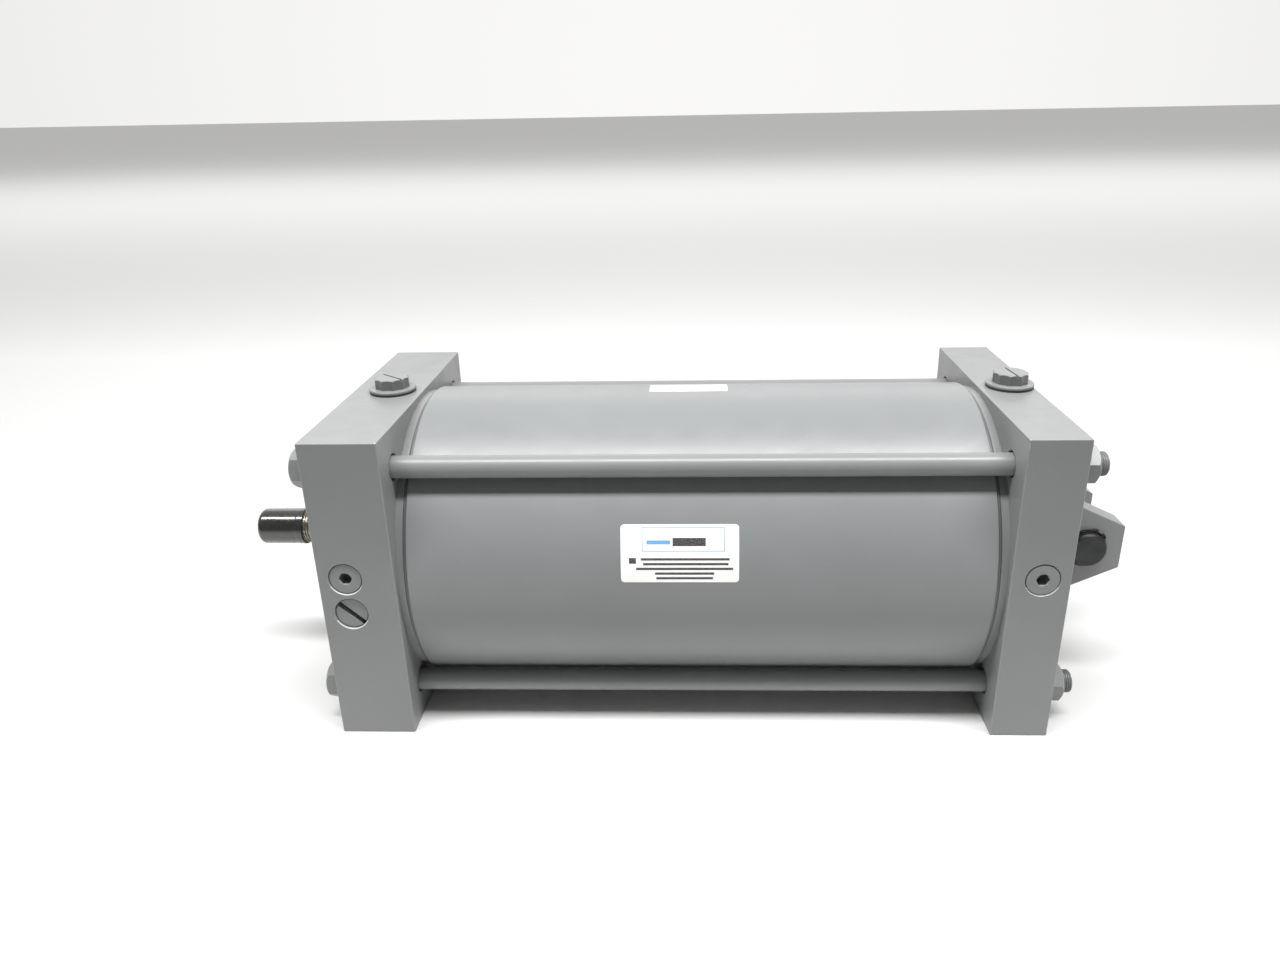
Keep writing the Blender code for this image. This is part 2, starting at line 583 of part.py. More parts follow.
def piston():
    """Piston with two seal grooves either side of the wear band groove."""
    rim = BORE_RADIUS * math.cos(math.pi / LARGE) - GAP
    seal_floor = 93.2 * MM
    band_floor = 98.0 * MM
    bore = ROD_THREAD_RADIUS + GAP
    length = PISTON_LENGTH
    seal_edge = 1.6 * MM
    seal_width = 5.0 * MM
    band_width = 3.6 * MM
    band_start = (length - band_width) / 2
    outline = [(0, bore), (length, bore), (length, rim), (length - seal_edge, rim),
               (length - seal_edge, seal_floor), (length - seal_edge - seal_width, seal_floor),
               (length - seal_edge - seal_width, rim), (band_start + band_width, rim),
               (band_start + band_width, band_floor), (band_start, band_floor), (band_start, rim),
               (seal_edge + seal_width, rim), (seal_edge + seal_width, seal_floor),
               (seal_edge, seal_floor), (seal_edge, rim), (0, rim)]
    turned("piston", outline, "aluminium", at(PISTON_FRONT), ALONG_X, LARGE)
    seal_inner = seal_floor + GAP
    front = PISTON_FRONT + seal_edge + GAP
    ring("piston_seal_front", front, front + seal_width - 2 * GAP, seal_inner, rim,
         "seal_rubber", LARGE)
    rear = PISTON_REAR - seal_edge - GAP
    ring("piston_seal_rear", rear - seal_width + 2 * GAP, rear, seal_inner, rim,
         "seal_rubber", LARGE)
    band = PISTON_FRONT + band_start + GAP
    ring("piston_wear_band", band, band + band_width - 2 * GAP, band_floor + 0.7 * MM, rim,
         "wear_plastic", LARGE)


def cushions():
    """Head cushion sleeve, cap cushion spear and the cap's cushion seal."""
    taper = 3.0 * MM
    sleeve = [(0, SLEEVE_BORE), (SLEEVE_LENGTH, SLEEVE_BORE), (SLEEVE_LENGTH, SLEEVE_RADIUS),
              (taper, SLEEVE_RADIUS), (0, SLEEVE_RADIUS - MM)]
    turned("cushion_sleeve", sleeve, "bright_steel", at(PISTON_FRONT - SLEEVE_LENGTH - GAP),
           ALONG_X, MEDIUM)
    bore = ROD_THREAD_RADIUS + GAP
    spear = [(0, SPEAR_RADIUS), (0, bore), (SPEAR_SOCKET, bore), (SPEAR_SOCKET, 0),
             (SPEAR_LENGTH, 0), (SPEAR_LENGTH, SPEAR_RADIUS - 1.275 * MM),
             (SPEAR_LENGTH - 4 * MM, SPEAR_RADIUS)]
    turned("cushion_spear", spear, "bright_steel", at(PISTON_REAR + GAP), ALONG_X, MEDIUM)
    ring("cap_cushion_seal", CAP_PILOT_END + 4.6 * MM, CAP_PILOT_END + 9.0 * MM, SPEAR_BORE,
         SPEAR_SEAL_RADIUS - GAP, "seal_rubber")


def thread_protector():
    """Soft cap pulled over the rod end thread, closed and rounded at its tip."""
    inner = ROD_THREAD_RADIUS + GAP
    outer = PROTECTOR_RADIUS
    floor = -ROD_SHOULDER - ROD_THREAD_LENGTH - GAP
    rounding = 3.5 * MM
    arc = [math.radians(angle) for angle in (90, 60, 30, 0)]
    outline = [(-PROTECTOR_TIP, 0)]
    outline += [(-PROTECTOR_TIP + rounding * (1 - math.sin(turn)),
                 outer - rounding * (1 - math.cos(turn))) for turn in arc]
    outline += [(-PROTECTOR_MOUTH, outer), (-PROTECTOR_MOUTH, inner), (floor, inner), (floor, 0)]
    turned("thread_protector", outline, "black_vinyl", at(0), ALONG_X, MEDIUM)


# ---------------------------------------------------------------- valves and plugs
def cushion_needle(name, spot, recess):
    """Hex-socket needle with its O-ring, axis along the block's front normal."""
    station, height = spot
    mouth = at(station, -HALF_SIDE, height)
    disc = NEEDLE_DISC
    shank = NEEDLE_SHANK
    groove = 3.4 * MM
    groove_start, groove_end = -27.2 * MM, -24.0 * MM
    tip, seat, disc_base = -56.0 * MM, -49.2 * MM, -9.8 * MM
    outline = [(tip, 0), (tip, 1.2 * MM), (seat, 2.2 * MM), (seat + 2.2 * MM, shank),
               (groove_start, shank), (groove_start, groove), (groove_end, groove),
               (groove_end, shank), (disc_base, shank), (disc_base, disc), (-recess, disc),
               (-recess, 0)]
    needle = turned(name, outline, "grey_paint", mouth, ALONG_FRONT, SMALL)
    socket_depth = 6 * MM
    socket = prism_mesh("socket", polygon(6, 4.45 * MM), socket_depth)
    floor = mouth + Vector((0, recess + socket_depth - MM, 0))
    cut(needle, place_mesh(f"cutter_{name}_socket", socket, None, floor, ALONG_FRONT))
    o_ring = [(groove_start + GAP, groove + 0.4 * MM), (groove_end - GAP, groove + 0.4 * MM),
              (groove_end - GAP, shank + 0.1 * MM), (groove_start + GAP, shank + 0.1 * MM)]
    turned(f"{name}_o_ring", o_ring, "seal_rubber", mouth, ALONG_FRONT, SMALL)


def check_valve():
    """Slotted plug over the ball that frees the flow into the cushion."""
    mouth = at(CHECK_PLUG[0], -HALF_SIDE, CHECK_PLUG[1])
    recess = 1.2 * MM
    base = -13.0 * MM
    outline = [(base, 0), (base, NEEDLE_DISC), (-recess, NEEDLE_DISC), (-recess, 0)]
    plug = turned("check_valve_plug", outline, "grey_paint", mouth, ALONG_FRONT, SMALL)
    slot = box("cutter_check_slot", (26 * MM, 5 * MM, 3 * MM), None, mouth + Vector((0, recess, 0)))
    slot.rotation_euler = Euler((0, math.radians(43), 0))
    cut(plug, slot)
    bm = bmesh.new()
    bmesh.ops.create_uvsphere(bm, u_segments=TINY, v_segments=8, radius=4.76 * MM)
    place_mesh("check_ball", finish_bmesh(bm, "check_ball"), "bright_steel",
               mouth + Vector((0, 26.8 * MM, 0)), ALONG_FRONT)


def port_plug(name, station, slot_turn):
    """Hollow screw plug with a flange, a ten-sided slotted head and a gasket."""
    mouth = at(station, 0, BLOCK_SIDE)
    gasket_top = GAP + 1.2 * MM
    flange_bottom = gasket_top + GAP
    flange_top = flange_bottom + 1.6 * MM
    flange_radius = PLUG_FLANGE_RADIUS
    thread = PLUG_THREAD_RADIUS
    hollow = PLUG_HOLLOW_RADIUS
    outline = [(-PLUG_LENGTH, hollow), (-PLUG_LENGTH, thread - 0.8 * MM),
               (MM - PLUG_LENGTH, thread), (flange_bottom, thread), (flange_bottom, flange_radius),
               (flange_top, flange_radius), (flange_top, 0), (-MM, 0), (-MM, hollow)]
    plug = turned(name, outline, "grey_paint", mouth, UPRIGHT, MEDIUM)
    head_height = PLUG_HEAD_HEIGHT
    head = prism_mesh("head", polygon(10, PLUG_HEAD_RADIUS), head_height + 0.5 * MM)
    join(plug, place_mesh(f"adder_{name}_head", head, None,
                          mouth + Vector((0, 0, flange_top - 0.5 * MM)), UPRIGHT))
    slot = box(f"cutter_{name}_slot", (26 * MM, 1.6 * MM, 4 * MM), None,
               mouth + Vector((0, 0, flange_top + head_height)))
    slot.rotation_euler = Euler((0, 0, slot_turn))
    cut(plug, slot)
    gasket = [(GAP, PORT_RADIUS - 0.2 * MM), (GAP, flange_radius), (gasket_top, flange_radius),
              (gasket_top, PORT_RADIUS - 0.2 * MM)]
    turned(f"{name}_gasket", gasket, "seal_rubber", mouth, UPRIGHT, MEDIUM)


# ---------------------------------------------------------------- clevis
def clevis_bracket():
    """Two tapered ears on a common base, with the pin hole and blind screw holes."""
    face = CAP_OUTER + GAP
    width = CLEVIS_GAP + 2 * CLEVIS_EAR
    length = CLEVIS_TIP - GAP
    root = CLEVIS_ROOT_HALF_HEIGHT
    tip = CLEVIS_TIP_HALF_HEIGHT
    outline = [(0, -root), (length, -tip), (length, tip), (0, root)]
    mesh = prism_mesh("clevis_bracket", outline, width)
    bracket = place_mesh("clevis_bracket", mesh, "grey_paint", at(face, width / 2), ALONG_FRONT)
    slot_length = CLEVIS_TIP
    slot = box("cutter_clevis_slot", (slot_length, CLEVIS_GAP, 3 * root), None,
               at(CAP_OUTER + CLEVIS_BASE + slot_length / 2))
    pin_station = CAP_OUTER + CLEVIS_PIN_STATION
    hole_radius = CLEVIS_PIN_RADIUS + 0.4 * MM
    hole = drilling("cutter_clevis_pin_hole", at(pin_station, width),
                    at(pin_station, -width), hole_radius, MEDIUM)
    cut(bracket, slot, hole)
    for number, (side, level) in enumerate(corner_signs(), 1):
        y, height = clevis_screw_spot(side, level)
        cut(bracket, drilling(f"cutter_clevis_screw_hole_{number}", at(CAP_OUTER - MM, y, height),
                              at(CAP_OUTER + 18 * MM, y, height), CLEVIS_SCREW_HOLE, SMALL))
    return bracket


def clevis_screws():
    """Cap screws that pull the clevis bracket against the cap from inside."""
    mesh = cap_screw_mesh("clevis_screw", 7.14 * MM, 9.4 * MM, 4.76 * MM,
                          CAP_OUTER - CAP_PILOT_END + CLEVIS_SCREW_REACH)
    for number, (side, level) in enumerate(corner_signs(), 1):
        y, height = clevis_screw_spot(side, level)
        place_mesh(f"clevis_screw_{number}", mesh, "black_oxide",
                   at(CAP_PILOT_END + GAP, y, height), ALONG_X)


def clevis_pin():
    """Pin across the ears, held by a retaining ring in a groove at each end."""
    centre = at(CAP_OUTER + CLEVIS_PIN_STATION)
    radius = CLEVIS_PIN_RADIUS
    groove = radius - 0.9 * MM
    half = 1.75 * INCH
    chamfer = 1.2 * MM
    ring_start = CLEVIS_GAP / 2 + CLEVIS_EAR + GAP
    ring_end = ring_start + 1.2 * MM
    side = [(half, 0), (half, radius - chamfer), (half - chamfer, radius), (ring_end + GAP, radius),
            (ring_end + GAP, groove), (ring_start - GAP / 2, groove), (ring_start - GAP / 2, radius)]
    outline = side + [(-axial, radial) for axial, radial in reversed(side)]
    turned("clevis_pin", outline, "black_oxide", centre, ALONG_FRONT, MEDIUM)
    section = [(ring_start, groove + GAP), (ring_end, groove + GAP),
               (ring_end, RETAINING_RING_RADIUS), (ring_start, RETAINING_RING_RADIUS)]
    mesh = turned_mesh("retaining_ring", section, MEDIUM)
    place_mesh("retaining_ring_front", mesh, "black_oxide", centre, ALONG_FRONT)
    place_mesh("retaining_ring_rear", mesh, "black_oxide", centre, ALONG_BACK)


# ---------------------------------------------------------------- labels
def curved_label(name, start, end, low_angle, high_angle):
    """Thin plate bent round the barrel; angles rise from the front horizontal."""
    steps = 8
    inner = TUBE_RADIUS + GAP
    outer = inner + LABEL_THICKNESS
    turns = [math.radians(low_angle + (high_angle - low_angle) * step / steps)
             for step in range(steps + 1)]
    front = [(-outer * math.cos(turn), outer * math.sin(turn)) for turn in turns]
    back = [(-inner * math.cos(turn), inner * math.sin(turn)) for turn in reversed(turns)]
    outline = [(-height, y) for y, height in front + back]
    mesh = prism_mesh(name, outline, end - start)
    return place_mesh(name, mesh, "label_white", at(start), ALONG_X)


def build():
    """Make every sub-part."""
    clear_scene()
    head_block()
    cap_block()
    barrel()
    tie_rods_and_nuts()
    rod_bushing()
    bushing_retainer()
    piston_rod()
    piston()
    cushions()
    thread_protector()
    cushion_needle("head_cushion_needle", HEAD_NEEDLE, 0.8 * MM)
    cushion_needle("cap_cushion_needle", CAP_NEEDLE, 0.2 * MM)
    check_valve()
    port_plug("head_port_plug", HEAD_PORT, HEAD_PLUG_SLOT_TURN)
    port_plug("cap_port_plug", CAP_PORT, CAP_PLUG_SLOT_TURN)
    clevis_bracket()
    clevis_screws()
    clevis_pin()
    curved_label("barrel_label", *BARREL_LABEL)
    curved_label("serial_plate", *SERIAL_PLATE)


build()
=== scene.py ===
"""Finished looks of a tie-rod pneumatic cylinder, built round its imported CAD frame.

Every part that can be seen is rebuilt here with round edges, real threads and a
procedural finish, in the place and at the size of the CAD node that it stands for.
Parts sealed inside keep their CAD mesh and get a better finish.
Turned parts are described along their own Z axis as (axial, radius) outlines.
"""
import json
import math

import bmesh
import bpy
from mathutils import Euler, Matrix, Vector

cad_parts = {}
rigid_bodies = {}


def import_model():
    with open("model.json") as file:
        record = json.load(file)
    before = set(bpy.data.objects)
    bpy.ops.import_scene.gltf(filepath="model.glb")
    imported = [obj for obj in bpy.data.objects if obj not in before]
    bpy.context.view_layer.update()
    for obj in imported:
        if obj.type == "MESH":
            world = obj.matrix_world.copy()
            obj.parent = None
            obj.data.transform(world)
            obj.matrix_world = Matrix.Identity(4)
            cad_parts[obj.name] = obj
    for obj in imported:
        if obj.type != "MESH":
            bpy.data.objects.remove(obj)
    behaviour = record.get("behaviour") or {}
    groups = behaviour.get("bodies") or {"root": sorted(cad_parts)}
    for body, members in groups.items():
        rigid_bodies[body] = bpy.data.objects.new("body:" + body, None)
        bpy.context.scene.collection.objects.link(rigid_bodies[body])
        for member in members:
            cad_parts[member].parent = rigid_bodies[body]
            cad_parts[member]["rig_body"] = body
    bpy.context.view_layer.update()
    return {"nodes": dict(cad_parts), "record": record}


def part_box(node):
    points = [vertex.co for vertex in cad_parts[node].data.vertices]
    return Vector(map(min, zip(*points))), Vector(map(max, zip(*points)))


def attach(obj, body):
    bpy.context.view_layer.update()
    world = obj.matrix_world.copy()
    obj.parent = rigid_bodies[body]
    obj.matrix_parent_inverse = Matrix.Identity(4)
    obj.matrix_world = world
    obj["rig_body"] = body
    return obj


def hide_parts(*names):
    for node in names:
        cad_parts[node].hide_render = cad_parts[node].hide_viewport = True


INCH = 0.0254
MM = 0.001

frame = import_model()
SLOT_OF = {part["node"]: part["material_slot"] for part in frame["record"]["subparts"]}

# ---------------------------------------------------------------- sizes, and places from the frame
HEAD_THICKNESS = 2.0 * INCH
CAP_THICKNESS = 1.5 * INCH
BOSS_RADIUS = 4.09 * INCH
BOSS_WIDTH = 0.20 * INCH
HEAD_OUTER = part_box("head")[0].x
CAP_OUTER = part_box("cap")[1].x
HEAD_INNER = HEAD_OUTER + HEAD_THICKNESS
CAP_INNER = CAP_OUTER - CAP_THICKNESS
BLOCK_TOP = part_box("head")[1].z
HALF_SIDE = BLOCK_TOP / 2
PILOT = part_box("head")[1].x - HEAD_INNER
TUBE_START, TUBE_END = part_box("barrel_tube")[0].x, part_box("barrel_tube")[1].x
TUBE_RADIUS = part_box("barrel_tube")[1].y
BORE_RADIUS = 4.0 * INCH
TIE_OFFSET = (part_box("tie_rod_3")[0].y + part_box("tie_rod_3")[1].y) / 2
GAP = 0.3 * MM
SEAT_GAP = 0.05 * MM

# Directions that a part's own Z axis can be turned to.
ALONG_X = Euler((0, math.pi / 2, 0))
AGAINST_X = Euler((0, -math.pi / 2, 0))
TO_FRONT = Euler((math.pi / 2, 0, 0))
TO_BACK = Euler((-math.pi / 2, 0, 0))
UPRIGHT = Euler((0, 0, 0))

# Facets round a full turn.
HUGE = 192
LARGE = 96
MEDIUM = 64
SMALL = 40

# Place along one pitch and height of a 60 degree thread with flat crest and root, and the
# thread's depth as a share of its pitch.
THREAD_PROFILE = ((0.0, 0.0), (0.25, 0.0), (0.5625, 1.0), (0.6875, 1.0))
THREAD_DEPTH = 0.6


# ---------------------------------------------------------------- mesh helpers
class Thread:
    """A helical stretch of a turned outline, run out to its root at both ends."""

    def __init__(self, start, end, pitch, major):
        self.start = min(start, end)
        self.end = max(start, end)
        self.backward = end < start
        self.pitch = pitch
        self.depth = THREAD_DEPTH * pitch
        self.minor = major - self.depth

    def points(self, share):
        """Outline points at a share of a full turn."""
        found = []
        for turn in range(-1, math.ceil((self.end - self.start) / self.pitch) + 2):
            for place, height in THREAD_PROFILE:
                axial = self.start + self.pitch * (turn + place + share)
                axial = min(max(axial, self.start), self.end)
                rise = min(height * self.depth, axial - self.start, self.end - axial)
                found.append((axial, self.minor + rise))
        return found[::-1] if self.backward else found


def soften(outline, fillet, closed=False):
    """Round the corners of an outline. A point's third value is its own fillet."""
    count = len(outline)
    result = []
    for index, item in enumerate(outline):
        before, after = outline[index - 1], outline[(index + 1) % count]
        inner = closed or 0 < index < count - 1
        if isinstance(item, Thread):
            result.append(item)
            continue
        if isinstance(before, Thread) or isinstance(after, Thread):
            result.append(tuple(item[:2]))
            continue
        own = item[2] if len(item) > 2 else fillet
        corner = Vector(item[:2])
        if not inner or own == 0:
            result.append(tuple(corner))
            continue
        back, ahead = Vector(before[:2]) - corner, Vector(after[:2]) - corner
        start = corner + back.normalized() * min(own, back.length * 0.45)
        end = corner + ahead.normalized() * min(own, ahead.length * 0.45)
        for share in (0, 0.33, 0.67, 1):
            result.append(tuple(start * (1 - share) ** 2 + corner * 2 * share * (1 - share)
                                + end * share ** 2))
    return result


def closed_mesh(bm, name):
    """Turn a bmesh into a mesh whose faces all point outwards."""
    bmesh.ops.recalc_face_normals(bm, faces=bm.faces[:])
    mesh = bpy.data.meshes.new(name)
    bm.to_mesh(mesh)
    bm.free()
    return mesh


def lathe(name, outline, sides=MEDIUM, fillet=0.25 * MM, closed=False):
    """Turn an outline about Z. A closed outline makes a ring."""
    outline = soften(outline, fillet, closed)
    bm = bmesh.new()
    shared = {}

    def vertex(point):
        key = tuple(round(value, 8) for value in point)
        if key not in shared:
            shared[key] = bm.verts.new(point)
        return shared[key]

    columns = []
    for step in range(sides + 1):
        turn = 2 * math.pi * (step % sides) / sides
        points = []
        for item in outline:
            points += item.points(step / sides) if isinstance(item, Thread) else [item]
        if closed:
            points.append(points[0])
        columns.append([vertex((radius * math.cos(turn), radius * math.sin(turn), axial))
                        for axial, radius in points])
    for near, far in zip(columns, columns[1:]):
        for corners in zip(near, near[1:], far[1:], far):
            corners = list(dict.fromkeys(corners))
            if len(corners) > 2 and not bm.faces.get(corners):
                bm.faces.new(corners)
    return closed_mesh(bm, name)


def prism(name, outline, length, bevel=0.0):
    """Extrude an outline of (x, y) points along Z and break its edges."""
    bm = bmesh.new()
    face = bm.faces.new([bm.verts.new((x, y, 0)) for x, y in outline])
    grown = bmesh.ops.extrude_face_region(bm, geom=[face])["geom"]
    risen = [item for item in grown if isinstance(item, bmesh.types.BMVert)]
    bmesh.ops.translate(bm, verts=risen, vec=(0, 0, length))
    if bevel:
        sharp = [edge for edge in bm.edges if edge.calc_face_angle(0) > math.radians(25)]
        bmesh.ops.bevel(bm, geom=sharp, offset=bevel, segments=3, profile=0.5, affect="EDGES")
    return closed_mesh(bm, name)


def box_mesh(name, size, bevel=0.0):
    """Box centred on the origin with broken edges."""
    width, depth, height = size
    corners = [(-width / 2, -depth / 2), (width / 2, -depth / 2),
               (width / 2, depth / 2), (-width / 2, depth / 2)]
    mesh = prism(name, corners, height, bevel)
    mesh.transform(Matrix.Translation((0, 0, -height / 2)))
    return mesh


def regular(sides, radius, start=0.0):
    """Corner points of a regular polygon."""
    turns = [start + 2 * math.pi * step / sides for step in range(sides)]
    return [(radius * math.cos(turn), radius * math.sin(turn)) for turn in turns]


def placed(mesh, place, rotation):
    """The mesh moved into the row frame."""
    mesh.transform(Matrix.Translation(place) @ rotation.to_matrix().to_4x4())
    return mesh


def combined(mesh, others, operation="DIFFERENCE"):
    """Boolean of a mesh with other meshes, one after another."""
    piece = bpy.data.objects.new(mesh.name, mesh)
    bpy.context.scene.collection.objects.link(piece)
    helpers = []
    for other in others:
        helper = bpy.data.objects.new("helper", other)
        bpy.context.scene.collection.objects.link(helper)
        helpers.append(helper)
        modifier = piece.modifiers.new("boolean", "BOOLEAN")
        modifier.operation = operation
        modifier.solver = "EXACT"
        modifier.object = helper
    bpy.context.view_layer.update()
    graph = bpy.context.evaluated_depsgraph_get()
    result = bpy.data.meshes.new_from_object(piece.evaluated_get(graph))
    for done in [piece] + helpers:
        bpy.data.objects.remove(done, do_unlink=True)
    return result


def axis_point(x, y=0.0, z=HALF_SIDE):
    """Point in the row frame, on the cylinder axis unless told otherwise."""
    return Vector((x, y, z))


def middle(node):
    """Middle of a CAD node's box."""
    low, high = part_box(node)
    return (low + high) / 2


def face_point(node):
    """Point on the blocks' front face, in line with a part that is set into it."""
    spot = middle(node)
    return axis_point(spot.x, -HALF_SIDE, spot.z)


def show(node, mesh, *materials):
    """Show a mesh, already in the row frame, in place of a CAD node."""
    piece = bpy.data.objects.new(f"fine_{node}", mesh)
    bpy.context.scene.collection.objects.link(piece)
    finishes = [face.material_index for face in mesh.polygons]
    mesh.materials.clear()
    for material in materials:
        mesh.materials.append(material)
    for face, index in zip(mesh.polygons, finishes):
        face.material_index = min(index, len(materials) - 1)
    mesh.shade_smooth()
    mesh.set_sharp_from_angle(angle=math.radians(38))
    weighted = piece.modifiers.new("weighted_normals", "WEIGHTED_NORMAL")
    weighted.keep_sharp = True
    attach(piece, frame["nodes"][node]["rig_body"])
    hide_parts(node)
    return piece


def second_finish(mesh, test):
    """Give the second finish to the faces whose centre passes a test."""
    for face in mesh.polygons:
        if test(face.center):
            face.material_index = 1


# ---------------------------------------------------------------- finishes
class Finish:
    """A Principled material whose nodes are added by short calls."""

    def __init__(self, name):
        self.material = bpy.data.materials.new(name)
        self.material.use_nodes = True
        self.tree = self.material.node_tree
        self.shader = self.tree.nodes["Principled BSDF"]
        self.where = self.node("ShaderNodeTexCoord").outputs["Object"]

    def node(self, kind, **values):
        """Add a node. Values are node settings or inputs, as constants or as links."""
        node = self.tree.nodes.new(kind)
        for key, value in values.items():
            if hasattr(node, key):
                setattr(node, key, value)
                continue
            socket = node.inputs[int(key[1:]) if key[0] == "_" else key]
            if isinstance(value, bpy.types.NodeSocket):
                self.tree.links.new(value, socket)
            else:
                socket.default_value = value
        return node

    def noise(self, scale, detail=3.0, stretch=(1, 1, 1)):
        """Noise between 0 and 1 over the part, with a scale per metre."""
        turned = self.node("ShaderNodeMapping", Vector=self.where, Scale=stretch)
        return self.node("ShaderNodeTexNoise", Vector=turned.outputs["Vector"], Scale=scale,
                         Detail=detail).outputs["Fac"]

    def spread(self, value, low, high, start=0.3, end=0.7):
        """Map a value between start and end to a range."""
        return self.node("ShaderNodeMapRange", Value=value,
                         **{"From Min": start, "From Max": end, "To Min": low,
                            "To Max": high}).outputs["Result"]

    def blend(self, share, first, second):
        """Mix two colours."""
        node = self.node("ShaderNodeMix", data_type="RGBA")
        for socket, value in ((node.inputs[0], share), (node.inputs[6], first),
                              (node.inputs[7], second)):
            if isinstance(value, bpy.types.NodeSocket):
                self.tree.links.new(value, socket)
            else:
                socket.default_value = value
        return node.outputs[2]

    def link(self, value, name):
        """Drive an input of the shader."""
        self.tree.links.new(value, self.shader.inputs[name])

    def bump(self, height, distance, strength=1.0):
        """Raise the surface by a height map, on top of earlier bumps."""
        node = self.node("ShaderNodeBump", Height=height, Strength=strength, Distance=distance)
        earlier = self.shader.inputs["Normal"]
        if earlier.is_linked:
            self.tree.links.new(earlier.links[0].from_socket, node.inputs["Normal"])
        self.link(node.outputs["Normal"], "Normal")


def shade(color, factor):
    """A colour made lighter or darker, as RGBA."""
    return tuple(min(1.0, channel * factor) for channel in color) + (1.0,)


def surface(name, color, rough, metal=0.0, mottle=0.05, mottle_scale=14.0, grain=None,
            grain_depth=0.01 * MM, specks=0.0, coat=0.0):
    """A finish with mottled colour, uneven gloss, surface grain and fine specks.

    Rough is (lowest, highest) and grain is (scale per metre, stretch per axis).
    """
    finish = Finish(name)
    finish.shader.inputs["Metallic"].default_value = metal
    finish.shader.inputs["Coat Weight"].default_value = coat
    cloud = finish.noise(mottle_scale)
    tint = finish.blend(finish.spread(cloud, 0, 1), shade(color, 1 - mottle),
                        shade(color, 1 + mottle))
    if specks:
        dots = finish.spread(finish.noise(420, 2), 0, specks, 0.70, 0.78)
        tint = finish.blend(dots, tint, shade(color, 1.9))
    finish.link(tint, "Base Color")
    low, high = rough
    finish.link(finish.spread(finish.noise(mottle_scale * 6, 4), low, high), "Roughness")
    scale, stretch = grain or (700, (1, 1, 1))
    finish.bump(finish.noise(scale, 2, stretch), grain_depth)
    return finish


PAINT_COLOR = (0.203, 0.209, 0.208)


def paint(name, color=PAINT_COLOR, stretch=(1, 1, 1)):
    """Satin enamel: faint orange peel over the machining marks beneath."""
    finish = surface(name, color, (0.32, 0.42), mottle=0.035, mottle_scale=9,
                     grain=(260, (1, 1, 1)), grain_depth=0.018 * MM, specks=0.10)
    finish.bump(finish.noise(60, 3, stretch), 0.006 * MM)
    return finish.material


def worn_paint(name):
    """Enamel along corners, rubbed through to steel in a few places."""
    finish = surface(name, PAINT_COLOR, (0.34, 0.45), mottle=0.05, mottle_scale=30,
                     grain=(500, (1, 1, 1)), grain_depth=0.015 * MM)
    chips = finish.spread(finish.noise(95, 5), 0, 0.8, 0.66, 0.72)
    finish.link(chips, "Metallic")
    tint = finish.blend(chips, shade(PAINT_COLOR, 1.12), (0.50, 0.50, 0.49, 1.0))
    finish.link(tint, "Base Color")
    return finish.material


def label_film(name, bars, frames=()):
    """White printed film. Bars and frames are (left, right, low, high, colour) in metres."""
    finish = surface(name, (0.87, 0.87, 0.85), (0.28, 0.40), mottle=0.02, mottle_scale=25,
                     grain=(900, (1, 1, 1)), grain_depth=0.006 * MM)
    edge = 0.05 * MM
    line = 0.5 * MM
    flat = finish.node("ShaderNodeUVMap", uv_map="flat").outputs["UV"]
    across = finish.node("ShaderNodeSeparateXYZ", Vector=flat)
    tint = finish.shader.inputs["Base Color"].links[0].from_socket

    def distance(axis, low, high):
        """How far a point is outside a stretch; negative inside."""
        centred = finish.node("ShaderNodeMath", operation="SUBTRACT", _0=across.outputs[axis],
                              _1=(low + high) / 2).outputs[0]
        away = finish.node("ShaderNodeMath", operation="ABSOLUTE", _0=centred).outputs[0]
        return finish.node("ShaderNodeMath", operation="SUBTRACT", _0=away,
                           _1=(high - low) / 2).outputs[0]

    def inside(left, right, low, high):
        """1 inside a rectangle, 0 outside."""
        worst = finish.node("ShaderNodeMath", operation="MAXIMUM", _0=distance("X", left, right),
                            _1=distance("Y", low, high)).outputs[0]
        return finish.spread(worst, 1, 0, -edge, edge)

    for left, right, low, high, color in frames:
        outer = inside(left, right, low, high)
        inner = inside(left + line, right - line, low + line, high - line)
        rim = finish.node("ShaderNodeMath", operation="SUBTRACT", _0=outer, _1=inner).outputs[0]
        tint = finish.blend(rim, tint, color)
    for left, right, low, high, color in bars:
        mask = inside(left, right, low, high)
        broken = finish.node("ShaderNodeTexNoise", Vector=flat, Scale=1500, Detail=1).outputs["Fac"]
        worn = finish.node("ShaderNodeMath", operation="MULTIPLY", _0=mask,
                           _1=finish.spread(broken, 0.86, 1, 0.40, 0.55)).outputs[0]
        tint = finish.blend(worn, tint, color)
    finish.link(tint, "Base Color")
    return finish.material


PAINT = paint("grey_enamel", stretch=(1, 9, 1))
PAINT_TURNED = paint("grey_enamel_turned", stretch=(25, 1, 1))
PAINT_BARREL = paint("grey_enamel_barrel", (0.202, 0.210, 0.212), stretch=(25, 1, 1))
# Painted shade: enamel 0.62 times as light, for the gasket rings in the joints between boss and
# tube and for the hollow sides of the plug heads.
PAINT_SHADE = paint("grey_enamel_painted_shade", shade(PAINT_COLOR, 0.62)[:3])
WORN = worn_paint("grey_enamel_edges")
